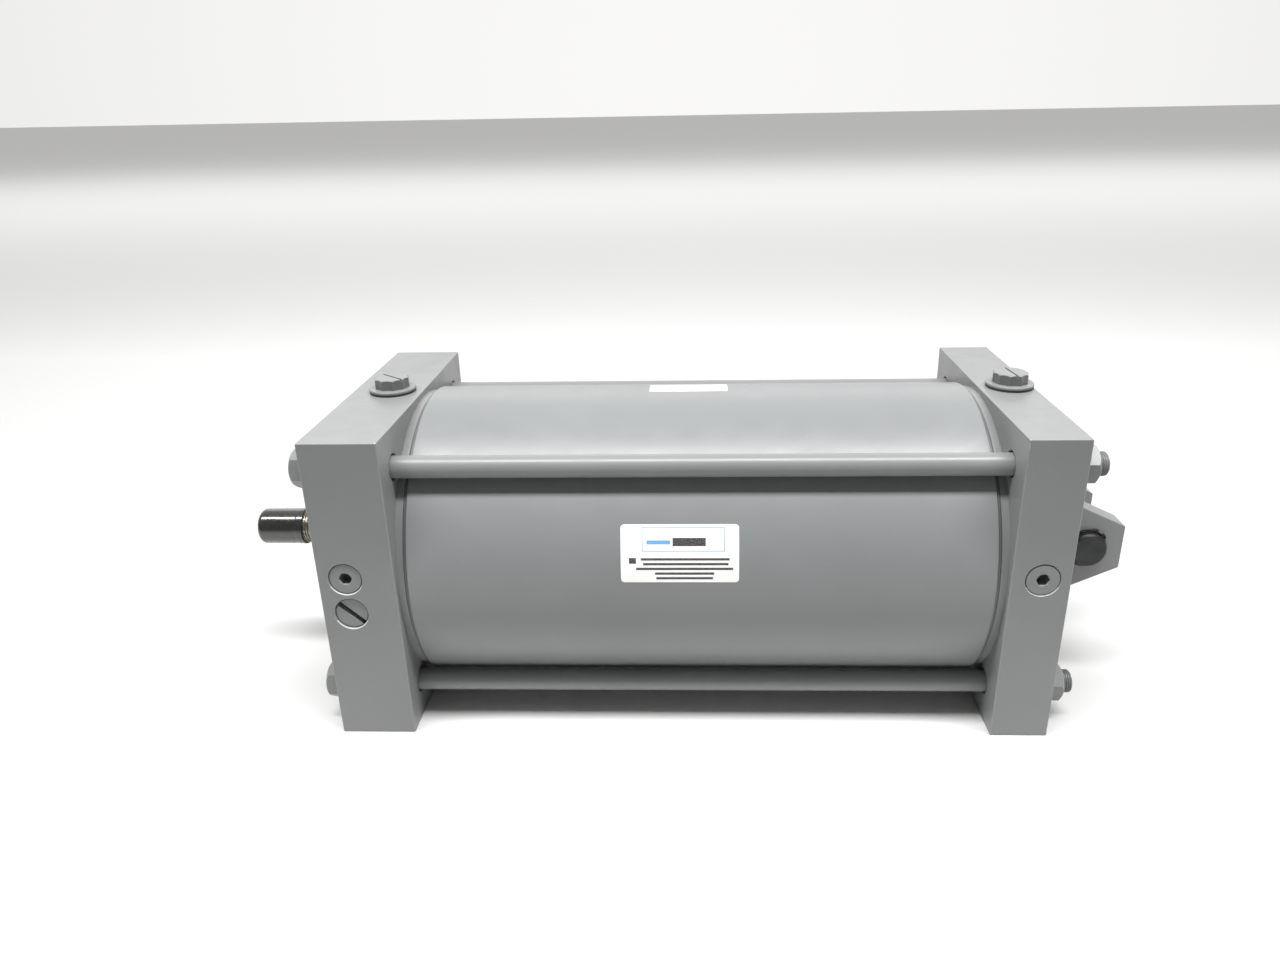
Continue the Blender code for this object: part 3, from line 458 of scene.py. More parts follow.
# Bare steel with a painted highlight: a light, partly metallic finish for the up-facing chamfer
# faces low on the rims of the front holes, where the overhead light catches them.
BARE_RIM_HIGHLIGHT = surface("bare_rim_painted_highlight", (0.60, 0.60, 0.59), (0.24, 0.36), 0.3, 0.08, 120,
                   (500, (1, 1, 1)), 0.008 * MM).material
CHROME = surface("hard_chrome", (0.70, 0.70, 0.71), (0.07, 0.16), 1.0, 0.03, 20,
                 (90, (60, 1, 1)), 0.002 * MM).material
OILED = surface("oiled_thread", (0.34, 0.33, 0.28), (0.22, 0.45), 1.0, 0.40, 260,
                (300, (20, 1, 1)), 0.008 * MM).material
GROUND = surface("ground_steel", (0.56, 0.56, 0.55), (0.18, 0.30), 1.0, 0.06, 40,
                 (150, (30, 1, 1)), 0.006 * MM).material
HONED = surface("honed_bore", (0.50, 0.50, 0.49), (0.22, 0.34), 1.0, 0.05, 30,
                (400, (1, 6, 6)), 0.008 * MM).material
OXIDE = surface("black_oxide", (0.030, 0.031, 0.031), (0.30, 0.48), 0.6, 0.25, 90,
                (600, (1, 1, 1)), 0.012 * MM, 0.05).material
VINYL = surface("dipped_vinyl", (0.016, 0.016, 0.015), (0.16, 0.30), 0.0, 0.2, 60,
                (110, (0.4, 1, 1)), 0.003 * MM, 0.03, coat=1.0).material
BRONZE = surface("turned_bronze", (0.52, 0.36, 0.15), (0.24, 0.38), 1.0, 0.12, 50,
                 (120, (40, 1, 1)), 0.012 * MM).material
RUBBER = surface("nitrile_rubber", (0.022, 0.022, 0.023), (0.50, 0.68), 0.0, 0.15, 80,
                 (1500, (1, 1, 1)), 0.012 * MM, 0.04).material
ALUMINIUM = surface("turned_aluminium", (0.60, 0.61, 0.62), (0.26, 0.40), 1.0, 0.06, 40,
                    (120, (40, 1, 1)), 0.012 * MM).material
PLASTIC = surface("filled_plastic", (0.17, 0.28, 0.24), (0.40, 0.56), 0.0, 0.10, 70,
                  (1200, (1, 1, 1)), 0.008 * MM).material


# ---------------------------------------------------------------- end blocks
def drill(start, end, radius, sides=SMALL, sink=0.0):
    """Cutter for a round hole between two points, countersunk at its end."""
    span = end - start
    outline = [(0, 0), (0, radius), (span.length, radius), (span.length, 0)]
    if sink:
        outline = [(0, 0), (0, radius), (span.length - MM - sink, radius),
                   (span.length - MM, radius + sink), (span.length, radius + sink),
                   (span.length, 0)]
    mesh = lathe("drill", outline, sides, 0)
    rotation = span.to_track_quat("Z", "Y").to_euler()
    return placed(mesh, start, rotation)


def corners():
    """Number and lateral signs of four parts round the axis, front bottom first."""
    return list(enumerate(((-1, -1), (1, -1), (1, 1), (-1, 1)), 1))


def tie_place(x, side, level):
    """Point on a tie rod's axis."""
    return axis_point(x, side * TIE_OFFSET, HALF_SIDE + level * TIE_OFFSET)


def front_cutter(node, outline):
    """Cutter for a stepped hole in a block's front face, round the axis of a node."""
    return placed(lathe("cutter", outline, SMALL, 0), face_point(node), TO_FRONT)


# Outlines of the holes, as (axial, radius) with the block's face at 0. The mouth of a front
# hole is chamfered, and it ends 1 mm outside the face.
TIE_HOLE = 8.8 * MM
MOUTH_RADIUS = 11.15 * MM
MOUTH_CHAMFER = 0.55 * MM
FRONT_DEPTH = 62 * MM
MOUTH = [(-MOUTH_CHAMFER, MOUTH_RADIUS), (MM, MOUTH_RADIUS + MM + MOUTH_CHAMFER), (MM, 0)]
NEEDLE_HOLE = [(-FRONT_DEPTH, 0), (-FRONT_DEPTH, 2.8 * MM), (-49.5 * MM, 2.8 * MM),
               (-49.5 * MM, 5.5 * MM), (-10.2 * MM, 5.5 * MM), (-10.2 * MM, MOUTH_RADIUS)] + MOUTH
CHECK_HOLE = [(-FRONT_DEPTH, 0), (-FRONT_DEPTH, 3.4 * MM), (-32 * MM, 3.4 * MM),
              (-32 * MM, 6.2 * MM), (-13.5 * MM, 6.2 * MM), (-13.5 * MM, MOUTH_RADIUS)] + MOUTH
PORT_DEPTH = 19 * MM
PORT_RADIUS = 13.8 * MM
PORT_HOLE = [(-PORT_DEPTH, 0), (-PORT_DEPTH, PORT_RADIUS - MM), (0, PORT_RADIUS),
             (MM, PORT_RADIUS), (MM, 0)]


def block(outer, inner, plug, bore, holes):
    """Square block with its boss, drilled and bored."""
    side = 2 * HALF_SIDE
    mesh = box_mesh("block", (abs(inner - outer), side, side), 0.7 * MM)
    mesh.transform(Matrix.Translation(axis_point((outer + inner) / 2)))
    sign = 1 if inner > outer else -1
    overlap = 2 * MM
    spigot = BORE_RADIUS - GAP
    boss = [(-overlap, 0), (-overlap, BOSS_RADIUS), (BOSS_WIDTH, BOSS_RADIUS, 0.4 * MM),
            (BOSS_WIDTH, spigot), (PILOT, spigot, MM), (PILOT, 0)]
    boss = placed(lathe("boss", boss, HUGE, 0.3 * MM), axis_point(inner),
                  ALONG_X if sign > 0 else AGAINST_X)
    mesh = combined(mesh, [boss], "UNION")
    cutters = [bore] + holes
    for _, (y, z) in corners():
        cutters.append(drill(tie_place(outer - sign * MM, y, z), tie_place(inner + sign * MM, y, z),
                             TIE_HOLE, SMALL, 0.5 * MM))
    mouth = axis_point(middle(plug).x, 0, BLOCK_TOP)
    cutters.append(placed(lathe("port", PORT_HOLE, MEDIUM, 0), mouth, UPRIGHT))
    passage_start = axis_point(mouth.x, 0, BLOCK_TOP - PORT_DEPTH + 2 * MM)
    passage_end = axis_point(inner - sign * 9.8 * MM, 0, HALF_SIDE + 18 * MM)
    cutters.append(drill(passage_start, passage_end, 6 * MM))
    mesh = combined(mesh, cutters)
    mesh.materials.clear()
    return mesh


def worn_edges(mesh):
    """Worn finish on the broken outer edges, and bare metal with a painted highlight low on the
    rims of the front holes.

    Both are the slanted faces beside the block's outside; the rims' faces are the small ones.
    """
    straight = 0.97
    rim_area = 6 * MM ** 2
    for face in mesh.polygons:
        slanted = max(abs(value) for value in face.normal) < straight
        outside = max(abs(face.center.y), abs(face.center.z - HALF_SIDE)) > HALF_SIDE - MM
        if not slanted or not outside:
            continue
        # The big slanted faces take the worn finish; of the small rim faces only those facing up
        # take the painted highlight.
        if face.area > rim_area:
            face.material_index = 1
        elif face.normal.z > 0.3:
            face.material_index = 2


def head_block():
    """Head, bored for the retainer, the bushing and the cushion sleeve."""
    mouth = 30.45 * MM
    seat = 25.7 * MM
    land = 22.75 * MM
    groove = 27 * MM
    chamfer = 0.5 * MM
    steps = [(-MM, 0), (-MM, mouth + chamfer), (0, mouth + chamfer), (chamfer, mouth),
             (8.3 * MM, mouth), (8.3 * MM, seat), (34.3 * MM, seat), (34.3 * MM, land),
             (49 * MM, land), (49 * MM, groove), (55 * MM, groove), (55 * MM, land),
             (62 * MM, land), (62 * MM, 0)]
    bore = placed(lathe("bore", steps, MEDIUM, 0), axis_point(HEAD_OUTER), ALONG_X)
    holes = [front_cutter("head_cushion_needle", NEEDLE_HOLE),
             front_cutter("check_valve_plug", CHECK_HOLE)]
    for number, _ in corners():
        spot = middle(f"retainer_screw_{number}")
        holes.append(drill(axis_point(HEAD_OUTER - MM, spot.y, spot.z),
                           axis_point(HEAD_OUTER + 13 * MM, spot.y, spot.z), 3.6 * MM))
    mesh = block(HEAD_OUTER, HEAD_INNER, "head_port_plug", bore, holes)
    worn_edges(mesh)
    show("head", mesh, PAINT, WORN, BARE_RIM_HIGHLIGHT)


def cap_block():
    """Cap, bored for the cushion spear and drilled for the clevis screws."""
    land = 16.4 * MM
    groove = 20 * MM
    depth = 34 * MM
    steps = [(-MM, 0), (-MM, land), (4.3 * MM, land), (4.3 * MM, groove), (9.3 * MM, groove),
             (9.3 * MM, land), (depth, land), (depth, 0)]
    face = CAP_INNER - PILOT
    bore = placed(lathe("bore", steps, MEDIUM, 0), axis_point(face), ALONG_X)
    holes = [front_cutter("cap_cushion_needle", NEEDLE_HOLE)]
    for number, _ in corners():
        spot = middle(f"clevis_screw_{number}")
        outside = axis_point(face - MM, spot.y, spot.z)
        holes.append(drill(axis_point(CAP_OUTER + MM, spot.y, spot.z), outside, 5.3 * MM))
        holes.append(drill(axis_point(face + 10 * MM, spot.y, spot.z), outside, 7.7 * MM))
    mesh = block(CAP_OUTER, CAP_INNER, "cap_port_plug", bore, holes)
    worn_edges(mesh)
    show("cap", mesh, PAINT, WORN, BARE_RIM_HIGHLIGHT)


# ---------------------------------------------------------------- barrel, tie rods, nuts
def barrel():
    """Tube with a honed bore, and the gasket rings at its ends."""
    length = TUBE_END - TUBE_START
    outline = [(0, BORE_RADIUS), (length, BORE_RADIUS), (length, TUBE_RADIUS, 0.6 * MM),
               (0, TUBE_RADIUS, 0.6 * MM)]
    mesh = lathe("tube", outline, HUGE, 0.3 * MM, closed=True)
    mesh = placed(mesh, axis_point(TUBE_START), ALONG_X)
    limit = (BORE_RADIUS + TUBE_RADIUS) / 2
    second_finish(mesh, lambda at: math.hypot(at.y, at.z - HALF_SIDE) < limit)
    show("barrel_tube", mesh, PAINT_BARREL, HONED)
    # The gasket rings take the darker enamel: painted shade of the joint between boss and tube.
    outer = BOSS_RADIUS + 0.6 * MM
    for node in ("head_tube_gasket", "cap_tube_gasket"):
        low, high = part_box(node)
        width = high.x - low.x
        outline = [(0, BORE_RADIUS), (width, BORE_RADIUS), (width, outer), (0, outer)]
        mesh = lathe(node, outline, HUGE, 0.6 * MM, closed=True)
        show(node, placed(mesh, axis_point(low.x), ALONG_X), PAINT_SHADE)


NUT_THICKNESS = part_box("cap_nut_1")[1].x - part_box("cap_nut_1")[0].x
NUT_FLATS = 0.9375 * INCH
TIE_RADIUS = 0.589 * INCH / 2
TIE_THREAD = 0.625 * INCH / 2
TIE_PITCH = INCH / 18
NUT_TURN = math.radians(18)


def nut(name):
    """Hexagon nut with turned chamfers, seat at Z = 0, one corner a little off local -Y."""
    corner = NUT_FLATS / math.sqrt(3)
    blank = prism(name, regular(6, corner, math.pi / 2 - NUT_TURN), NUT_THICKNESS)
    above = NUT_THICKNESS + 0.3 * MM
    turned = [(-MM, 0), (-MM, corner - 1.6 * MM), (1.2 * MM, corner + 0.6 * MM),
              (NUT_THICKNESS - 2.4 * MM, corner + 0.3 * MM), (above, NUT_FLATS / 2 - 0.9 * MM),
              (above, 0)]
    bore = TIE_THREAD + 0.05 * MM
    sink = 0.9 * MM
    past = NUT_THICKNESS + MM
    hole = [(-MM, 0), (-MM, bore + sink), (0, bore + sink), (sink, bore),
            (NUT_THICKNESS - sink, bore), (NUT_THICKNESS, bore + sink), (past, bore + sink),
            (past, 0)]
    mesh = combined(blank, [lathe("turned", turned, LARGE, 0.3 * MM)], "INTERSECT")
    return combined(mesh, [lathe("hole", hole, SMALL, 0)])


def tie_rods():
    """Four tie rods with rolled threads, and their eight nuts."""
    low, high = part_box("tie_rod_1")
    length = high.x - low.x
    nut_seat = CAP_OUTER - low.x
    root = TIE_THREAD - THREAD_DEPTH * TIE_PITCH
    head_end = 26 * MM
    outline = [(0, 0), (0, root - 0.3 * MM, 0),
               Thread(0.3 * MM, head_end, TIE_PITCH, TIE_THREAD),
               (head_end + MM, TIE_RADIUS), (nut_seat - 4 * MM, TIE_RADIUS),
               Thread(nut_seat - 3 * MM, length - 0.2 * MM, TIE_PITCH, TIE_THREAD),
               (length, root - 0.5 * MM), (length, 0)]
    rod_mesh = lathe("tie_rod", outline, SMALL, 0.3 * MM)
    nut_mesh = nut("nut")
    rows = (("tie_rod", rod_mesh, low.x, ALONG_X, PAINT_TURNED),
            ("head_nut", nut_mesh, HEAD_OUTER - SEAT_GAP, AGAINST_X, PAINT),
            ("cap_nut", nut_mesh, CAP_OUTER + SEAT_GAP, ALONG_X, PAINT))
    for number, (y, z) in corners():
        for name, mesh, x, turn, finish in rows:
            show(f"{name}_{number}", placed(mesh.copy(), tie_place(x, y, z), turn), finish)


# ---------------------------------------------------------------- plugs and valves
def slot_cutter(size, height, degrees):
    """Cutter for a screwdriver slot, centred at a height and turned about Z."""
    slot = box_mesh("slot", size)
    turn = Matrix.Rotation(math.radians(degrees), 4, "Z")
    slot.transform(Matrix.Translation((0, 0, height)) @ turn)
    return slot


def fluted_head(height):
    """Ten-sided plug head with hollow sides and a broken top edge."""
    flutes, steps = 10, 8
    corner = 12.3 * MM
    hollow = 1.05 * MM
    rim = []
    for step in range(flutes * steps):
        across = (step % steps) / steps
        radius = corner - hollow * math.sin(math.pi * across) ** 0.8
        turn = 2 * math.pi * step / (flutes * steps)
        rim.append((radius * math.cos(turn), radius * math.sin(turn)))
    dome = [(-MM, 0), (-MM, corner + MM), (height - 0.9 * MM, corner + MM),
            (height - 0.9 * MM, corner), (height - 0.5 * MM, corner - 0.6 * MM),
            (height, corner - 1.6 * MM), (height, 0)]
    return combined(prism("head", rim, height), [lathe("dome", dome, LARGE, 0)], "INTERSECT")


def port_plug(node, slot_turn):
    """Screw plug with a flange, a fluted head and a narrow slot, and its gasket."""
    place = axis_point(middle(node).x, 0, BLOCK_TOP)
    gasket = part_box(f"{node}_gasket")[1]
    seat = gasket.z - BLOCK_TOP
    bottom = seat + SEAT_GAP
    flange = bottom + 1.9 * MM
    flange_radius = gasket.x - place.x
    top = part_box(node)[1].z - BLOCK_TOP
    thread = 12.7 * MM
    neck = thread - 1.2 * MM
    hollow = 9.5 * MM
    outline = [(-13 * MM, hollow), (-13 * MM, thread - 1.4 * MM, 0),
               Thread(-12.6 * MM, -0.6 * MM, INCH / 14, thread), (0, neck), (bottom, neck),
               (bottom, flange_radius, 0.3 * MM), (flange, flange_radius, 0.8 * MM), (flange, 0),
               (-MM, 0), (-MM, hollow)]
    sunk = 0.6 * MM
    head = fluted_head(top - flange + sunk)
    head.transform(Matrix.Translation((0, 0, flange - sunk)))
    mesh = combined(lathe(node, outline, MEDIUM, 0.2 * MM), [head], "UNION")
    slot = slot_cutter((30 * MM, 1.5 * MM, 4 * MM), top + 0.2 * MM, slot_turn)
    mesh = placed(combined(mesh, [slot]), place, UPRIGHT)
    # Painted shade: the fluted sides of the head, between the flange and the top edge, take the
    # darker enamel.
    lowest, highest = BLOCK_TOP + flange + 0.2 * MM, BLOCK_TOP + top - 0.7 * MM
    second_finish(mesh, lambda at: lowest < at.z < highest)
    show(node, mesh, PAINT, PAINT_SHADE)

    inner, outer = 13.4 * MM, flange_radius - 0.1 * MM
    washer = [(0.02 * MM, inner), (0.02 * MM, outer), (seat, outer), (seat, inner)]
    mesh = lathe("washer", washer, MEDIUM, 0.4 * MM, closed=True)
    show(f"{node}_gasket", placed(mesh, place, UPRIGHT), RUBBER)


DISC_RADIUS = 10.7 * MM


def cushion_needle(node, recess):
    """Needle with a hexagon socket, its disc set back in its hole by a recess."""
    shank = 4.9 * MM
    neck = 3.4 * MM
    outline = [(-56 * MM, 0), (-56 * MM, 1.2 * MM), (-49.2 * MM, 2.2 * MM), (-47 * MM, shank),
               (-27.2 * MM, shank), (-27.2 * MM, neck), (-24 * MM, neck), (-24 * MM, shank),
               (-9.8 * MM, shank), (-9.8 * MM, DISC_RADIUS), (-recess, DISC_RADIUS, 0.5 * MM),
               (-recess, 0)]
    body = lathe(node, outline, MEDIUM, 0.2 * MM)
    socket = prism("socket", regular(6, 4.45 * MM), 9 * MM)
    socket.transform(Matrix.Translation((0, 0, -recess - 8 * MM)))
    sink = lathe("sink", [(-recess - 0.4 * MM, 0), (-recess - 0.4 * MM, 4 * MM),
                          (-recess + 0.6 * MM, 5 * MM), (-recess + 0.6 * MM, 0)], SMALL, 0)
    show(node, placed(combined(body, [socket, sink]), face_point(node), TO_FRONT), PAINT)


def check_valve():
    """Slotted plug of the check valve."""
    node = "check_valve_plug"
    recess = 1.2 * MM
    outline = [(-13 * MM, 0), (-13 * MM, DISC_RADIUS), (-recess, DISC_RADIUS, 0.5 * MM),
               (-recess, 0)]
    slot = slot_cutter((26 * MM, 3.8 * MM, 9 * MM), -recess, -43)
    mesh = combined(lathe("check", outline, MEDIUM, 0.2 * MM), [slot])
    show(node, placed(mesh, face_point(node), TO_FRONT), PAINT)


# ---------------------------------------------------------------- rod end
STUD_RADIUS = 0.5 * INCH


def rod():
    """Chromed rod with wrench flats and a cut thread."""
    low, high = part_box("piston_rod")
    length = high.x - low.x
    radius = high.y
    shoulder = HEAD_OUTER - 1.625 * INCH - low.x
    sleeve_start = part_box("cushion_sleeve")[0].x - low.x - GAP
    piston_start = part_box("piston")[0].x - low.x - GAP
    sleeve_seat = 16 * MM
    outline = [(2.5 * MM, 0), (1.2 * MM, 1.2 * MM), (0, 3.2 * MM), (0, STUD_RADIUS - 2 * MM),
               Thread(0.6 * MM, shoulder - 0.4 * MM, INCH / 14, STUD_RADIUS),
               (shoulder, STUD_RADIUS - 1.1 * MM), (shoulder, radius, MM),
               (sleeve_start, radius), (sleeve_start, sleeve_seat), (piston_start, sleeve_seat),
               (piston_start, STUD_RADIUS), (length, STUD_RADIUS), (length, 0)]
    mesh = lathe("rod", outline, LARGE, 0.3 * MM)
    half_flats = 1.125 * INCH / 2
    flat_start = shoulder + 2 * MM
    flat_length = HEAD_OUTER - 24 * MM - low.x - flat_start
    cutters = []
    for side in (-1, 1):
        cutter = box_mesh("flat", (40 * MM, 10 * MM, flat_length), 1.2 * MM)
        y = side * (half_flats + 5 * MM)
        cutter.transform(Matrix.Translation((0, y, flat_start + flat_length / 2)))
        cutters.append(cutter)
    mesh = placed(combined(mesh, cutters), axis_point(low.x), ALONG_X)
    thread_end = low.x + shoulder + 0.3 * MM
    second_finish(mesh, lambda at: at.x < thread_end)
    show("piston_rod", mesh, CHROME, OILED)


def protector():
    """Dipped vinyl cap over the rod end thread, with a soft lip at its mouth."""
    low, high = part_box("thread_protector")
    length = high.x - low.x
    lip = high.y
    inner = STUD_RADIUS + GAP
    rounding = 4.2 * MM
    skin = 3.3 * MM
    outline = [(0.15 * MM, 0)]
    for step in range(7):
        turn = math.radians(90 - 15 * step)
        outline.append((rounding * (1 - math.sin(turn)),
                        lip - 0.25 * MM - rounding * (1 - math.cos(turn)), 0))
    outline += [(length - 6 * MM, lip - 0.2 * MM), (length - 4 * MM, lip),
                (length - 0.4 * MM, lip, 0.5 * MM), (length, inner + 0.3 * MM, 0.3 * MM),
                (length - 1.5 * MM, inner), (skin, inner), (skin, 0)]
    mesh = lathe("protector", outline, LARGE, 0.4 * MM)
    show("thread_protector", placed(mesh, axis_point(low.x), ALONG_X), VINYL)


def bushing():
    """Bronze bushing and its wiper. Stations are measured from the head's outer face."""
    bore = 17.9 * MM
    body = 25.4 * MM
    flange = 30.15 * MM
    packing = 22.6 * MM
    nose, nose_bore = -15.875 * MM, 19.5 * MM
    outline = [(nose, nose_bore), (nose, body, MM), (0, body), (0, flange), (8 * MM, flange),
               (8 * MM, body), (24 * MM, body), (24 * MM, 23 * MM), (27.5 * MM, 23 * MM),
               (27.5 * MM, body), (34 * MM, body), (34 * MM, bore), (21 * MM, bore),
               (21 * MM, packing), (14 * MM, packing), (14 * MM, bore), (-8 * MM, bore),
               (-8 * MM, 22 * MM), (-13 * MM, 22 * MM), (-13 * MM, nose_bore)]
    mesh = lathe("bushing", outline, LARGE, 0.25 * MM, closed=True)
    show("rod_bushing", placed(mesh, axis_point(HEAD_OUTER), ALONG_X), BRONZE)

    heel = 21.7 * MM
    outline = [(-12.7 * MM, bore), (-15.2 * MM, bore, 0.1 * MM),
               (-15.4 * MM, bore + 0.7 * MM, 0.1 * MM), (-12.9 * MM, 19 * MM),
               (-12.7 * MM, heel), (-8.3 * MM, heel), (-8.3 * MM, bore)]
    mesh = lathe("wiper", outline, LARGE, 0.2 * MM, closed=True)
    show("rod_wiper", placed(mesh, axis_point(HEAD_OUTER), ALONG_X), RUBBER)


def retainer():
    """Round plate over the bushing, with four cap screws in counterbored holes."""
    low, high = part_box("bushing_retainer")
    thickness = high.x - low.x
    inner = 25.8 * MM
    plate = lathe("plate", [(0, inner), (thickness, inner), (thickness, high.y, 0.2 * MM),
                            (0, high.y, 1.2 * MM)], LARGE, 0.4 * MM, closed=True)
    plate = placed(plate, axis_point(low.x), ALONG_X)
    wide, narrow = 5.5 * MM, 3.6 * MM
    sink = 0.6 * MM
    hole = [(-MM, 0), (-MM, wide + sink), (0, wide + sink), (sink, wide), (6.5 * MM, wide),
            (6.5 * MM, narrow), (thickness + MM, narrow), (thickness + MM, 0)]
    cutters = []
    for number, _ in corners():
        node = f"retainer_screw_{number}"
        screw_low, screw_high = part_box(node)
        y, z = middle(node).yz
        cutters.append(placed(lathe("hole", hole, SMALL, 0), axis_point(low.x, y, z), ALONG_X))
        mesh = cap_screw(4.76 * MM, 5.9 * MM, 3.17 * MM, screw_high.x - screw_low.x)
        show(node, placed(mesh, axis_point(screw_low.x, y, z), ALONG_X), OXIDE)
    show("bushing_retainer", combined(plate, cutters), PAINT)


def cap_screw(head, height, shank, length):
    """Socket head cap screw from the top of its head at Z = 0."""
    outline = [(0, 0), (0, head, 0.5 * MM), (height, head), (height, shank - 0.8 * MM, 0),
               Thread(height + MM, length - 0.5 * MM, INCH / 20, shank),
               (length, shank - 1.2 * MM), (length, 0)]
    socket = prism("socket", regular(6, head * 0.6), height * 0.6 + MM)
    socket.transform(Matrix.Translation((0, 0, -MM)))
    return combined(lathe("screw", outline, SMALL, 0.2 * MM), [socket])


# ---------------------------------------------------------------- clevis
CLEVIS_GAP = 1.5 * INCH
CLEVIS_WIDTH = 3.0 * INCH
CLEVIS_ROOT = 1.80 * INCH
CLEVIS_TIP = 0.64 * INCH
CLEVIS_BASE = 0.5 * INCH
PIN_RADIUS = 0.5 * INCH
PIN_X = (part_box("clevis_pin")[0].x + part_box("clevis_pin")[1].x) / 2


def clevis():
    """Bracket with two tapered ears."""
    seat = CAP_OUTER + SEAT_GAP
    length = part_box("clevis_bracket")[1].x - seat
    half = CLEVIS_WIDTH / 2
    outline = [(0, -CLEVIS_ROOT), (length, -CLEVIS_TIP), (length, CLEVIS_TIP), (0, CLEVIS_ROOT)]
    mesh = prism("clevis", outline, CLEVIS_WIDTH, 0.8 * MM)
    mesh = placed(mesh, axis_point(seat, half), TO_FRONT)
    slot_depth = 3 * INCH
    slot = box_mesh("slot", (slot_depth, CLEVIS_GAP, 6 * INCH), 2 * MM)
    slot.transform(Matrix.Translation(axis_point(CAP_OUTER + CLEVIS_BASE + slot_depth / 2)))
    hole = PIN_RADIUS + 0.4 * MM
    sink = 0.8 * MM
    bore = [(-half - MM, 0), (-half - MM, hole + sink), (-half, hole + sink), (-half + sink, hole),
            (half - sink, hole), (half, hole + sink), (half + MM, hole + sink), (half + MM, 0)]
    cutters = [slot, placed(lathe("bore", bore, MEDIUM, 0), axis_point(PIN_X), TO_FRONT)]
    for number, _ in corners():
        y, z = middle(f"clevis_screw_{number}").yz
        cutters.append(drill(axis_point(CAP_OUTER - MM, y, z),
                             axis_point(CAP_OUTER + 18 * MM, y, z), 5.3 * MM))
    show("clevis_bracket", combined(mesh, cutters), PAINT)


def snap_ring(inner, thickness):
    """External retaining ring: tapered section, open at one side between two eyed lugs."""
    gap = math.radians(9)
    lug = math.radians(24)
    lug_height = 3.6 * MM
    eye_radius = 0.9 * MM
    steps = 72
    outer_arc, inner_arc = [], []
    for step in range(steps + 1):
        turn = gap + (2 * math.pi - 2 * gap) * step / steps
        from_gap = min(turn, 2 * math.pi - turn)
        radius = inner + 1.5 * MM + 1.2 * MM * (1 - math.cos(turn)) / 2
        if from_gap < lug:
            along = (from_gap - gap) / (lug - gap)
            radius = inner + lug_height * (0.75 + 0.25 * math.cos(along * math.pi / 2))
        outer_arc.append((radius * math.cos(turn), radius * math.sin(turn)))
        inner_arc.append((inner * math.cos(turn), inner * math.sin(turn)))
    mesh = prism("snap_ring", outer_arc + inner_arc[::-1], thickness, 0.12 * MM)
    eyes = []
    for side in (-1, 1):
        turn = side * (gap + lug) / 2
        reach = inner + 1.9 * MM
        eye = lathe("eye", [(-MM, 0), (-MM, eye_radius), (3 * MM, eye_radius), (3 * MM, 0)], 16, 0)
        place = Vector((reach * math.cos(turn), reach * math.sin(turn), 0))
        eyes.append(placed(eye, place, UPRIGHT))
    return combined(mesh, eyes)


def pin():
    """Clevis pin and its two retaining rings."""
    low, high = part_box("clevis_pin")
    half = (high.y - low.y) / 2
    ring_low, ring_high = (corner.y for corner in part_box("retaining_ring_rear"))
    groove = PIN_RADIUS - 0.9 * MM
    chamfer = 1.4 * MM
    side = [(half, 0), (half, PIN_RADIUS - chamfer), (half - chamfer, PIN_RADIUS),
            (ring_high + 0.1 * MM, PIN_RADIUS), (ring_high + 0.1 * MM, groove),
            (ring_low - 0.1 * MM, groove), (ring_low - 0.1 * MM, PIN_RADIUS)]
    outline = side + [(-axial, radius) for axial, radius in reversed(side)]
    mesh = placed(lathe("pin", outline, MEDIUM, 0.25 * MM), axis_point(PIN_X), TO_FRONT)
    show("clevis_pin", mesh, OXIDE)
    clip = snap_ring(groove + 0.1 * MM, ring_high - ring_low)
    opening = Matrix.Rotation(math.radians(55), 4, "Z")
    clip.transform(opening @ Matrix.Translation((0, 0, ring_low)))
    for name, turn in (("front", TO_FRONT), ("rear", TO_BACK)):
        show(f"retaining_ring_{name}", placed(clip.copy(), axis_point(PIN_X), turn), OXIDE)


# ---------------------------------------------------------------- labels
# Lower and upper edge of each label in degrees round the barrel, up from the front horizontal.
LABEL_ARC = (5.4, 26.0)
PLATE_ARC = (89.3, 101.0)


def arc_height(arc):
    """Distance round the barrel that an arc in degrees covers."""
    return TUBE_RADIUS * math.radians(arc[1] - arc[0])


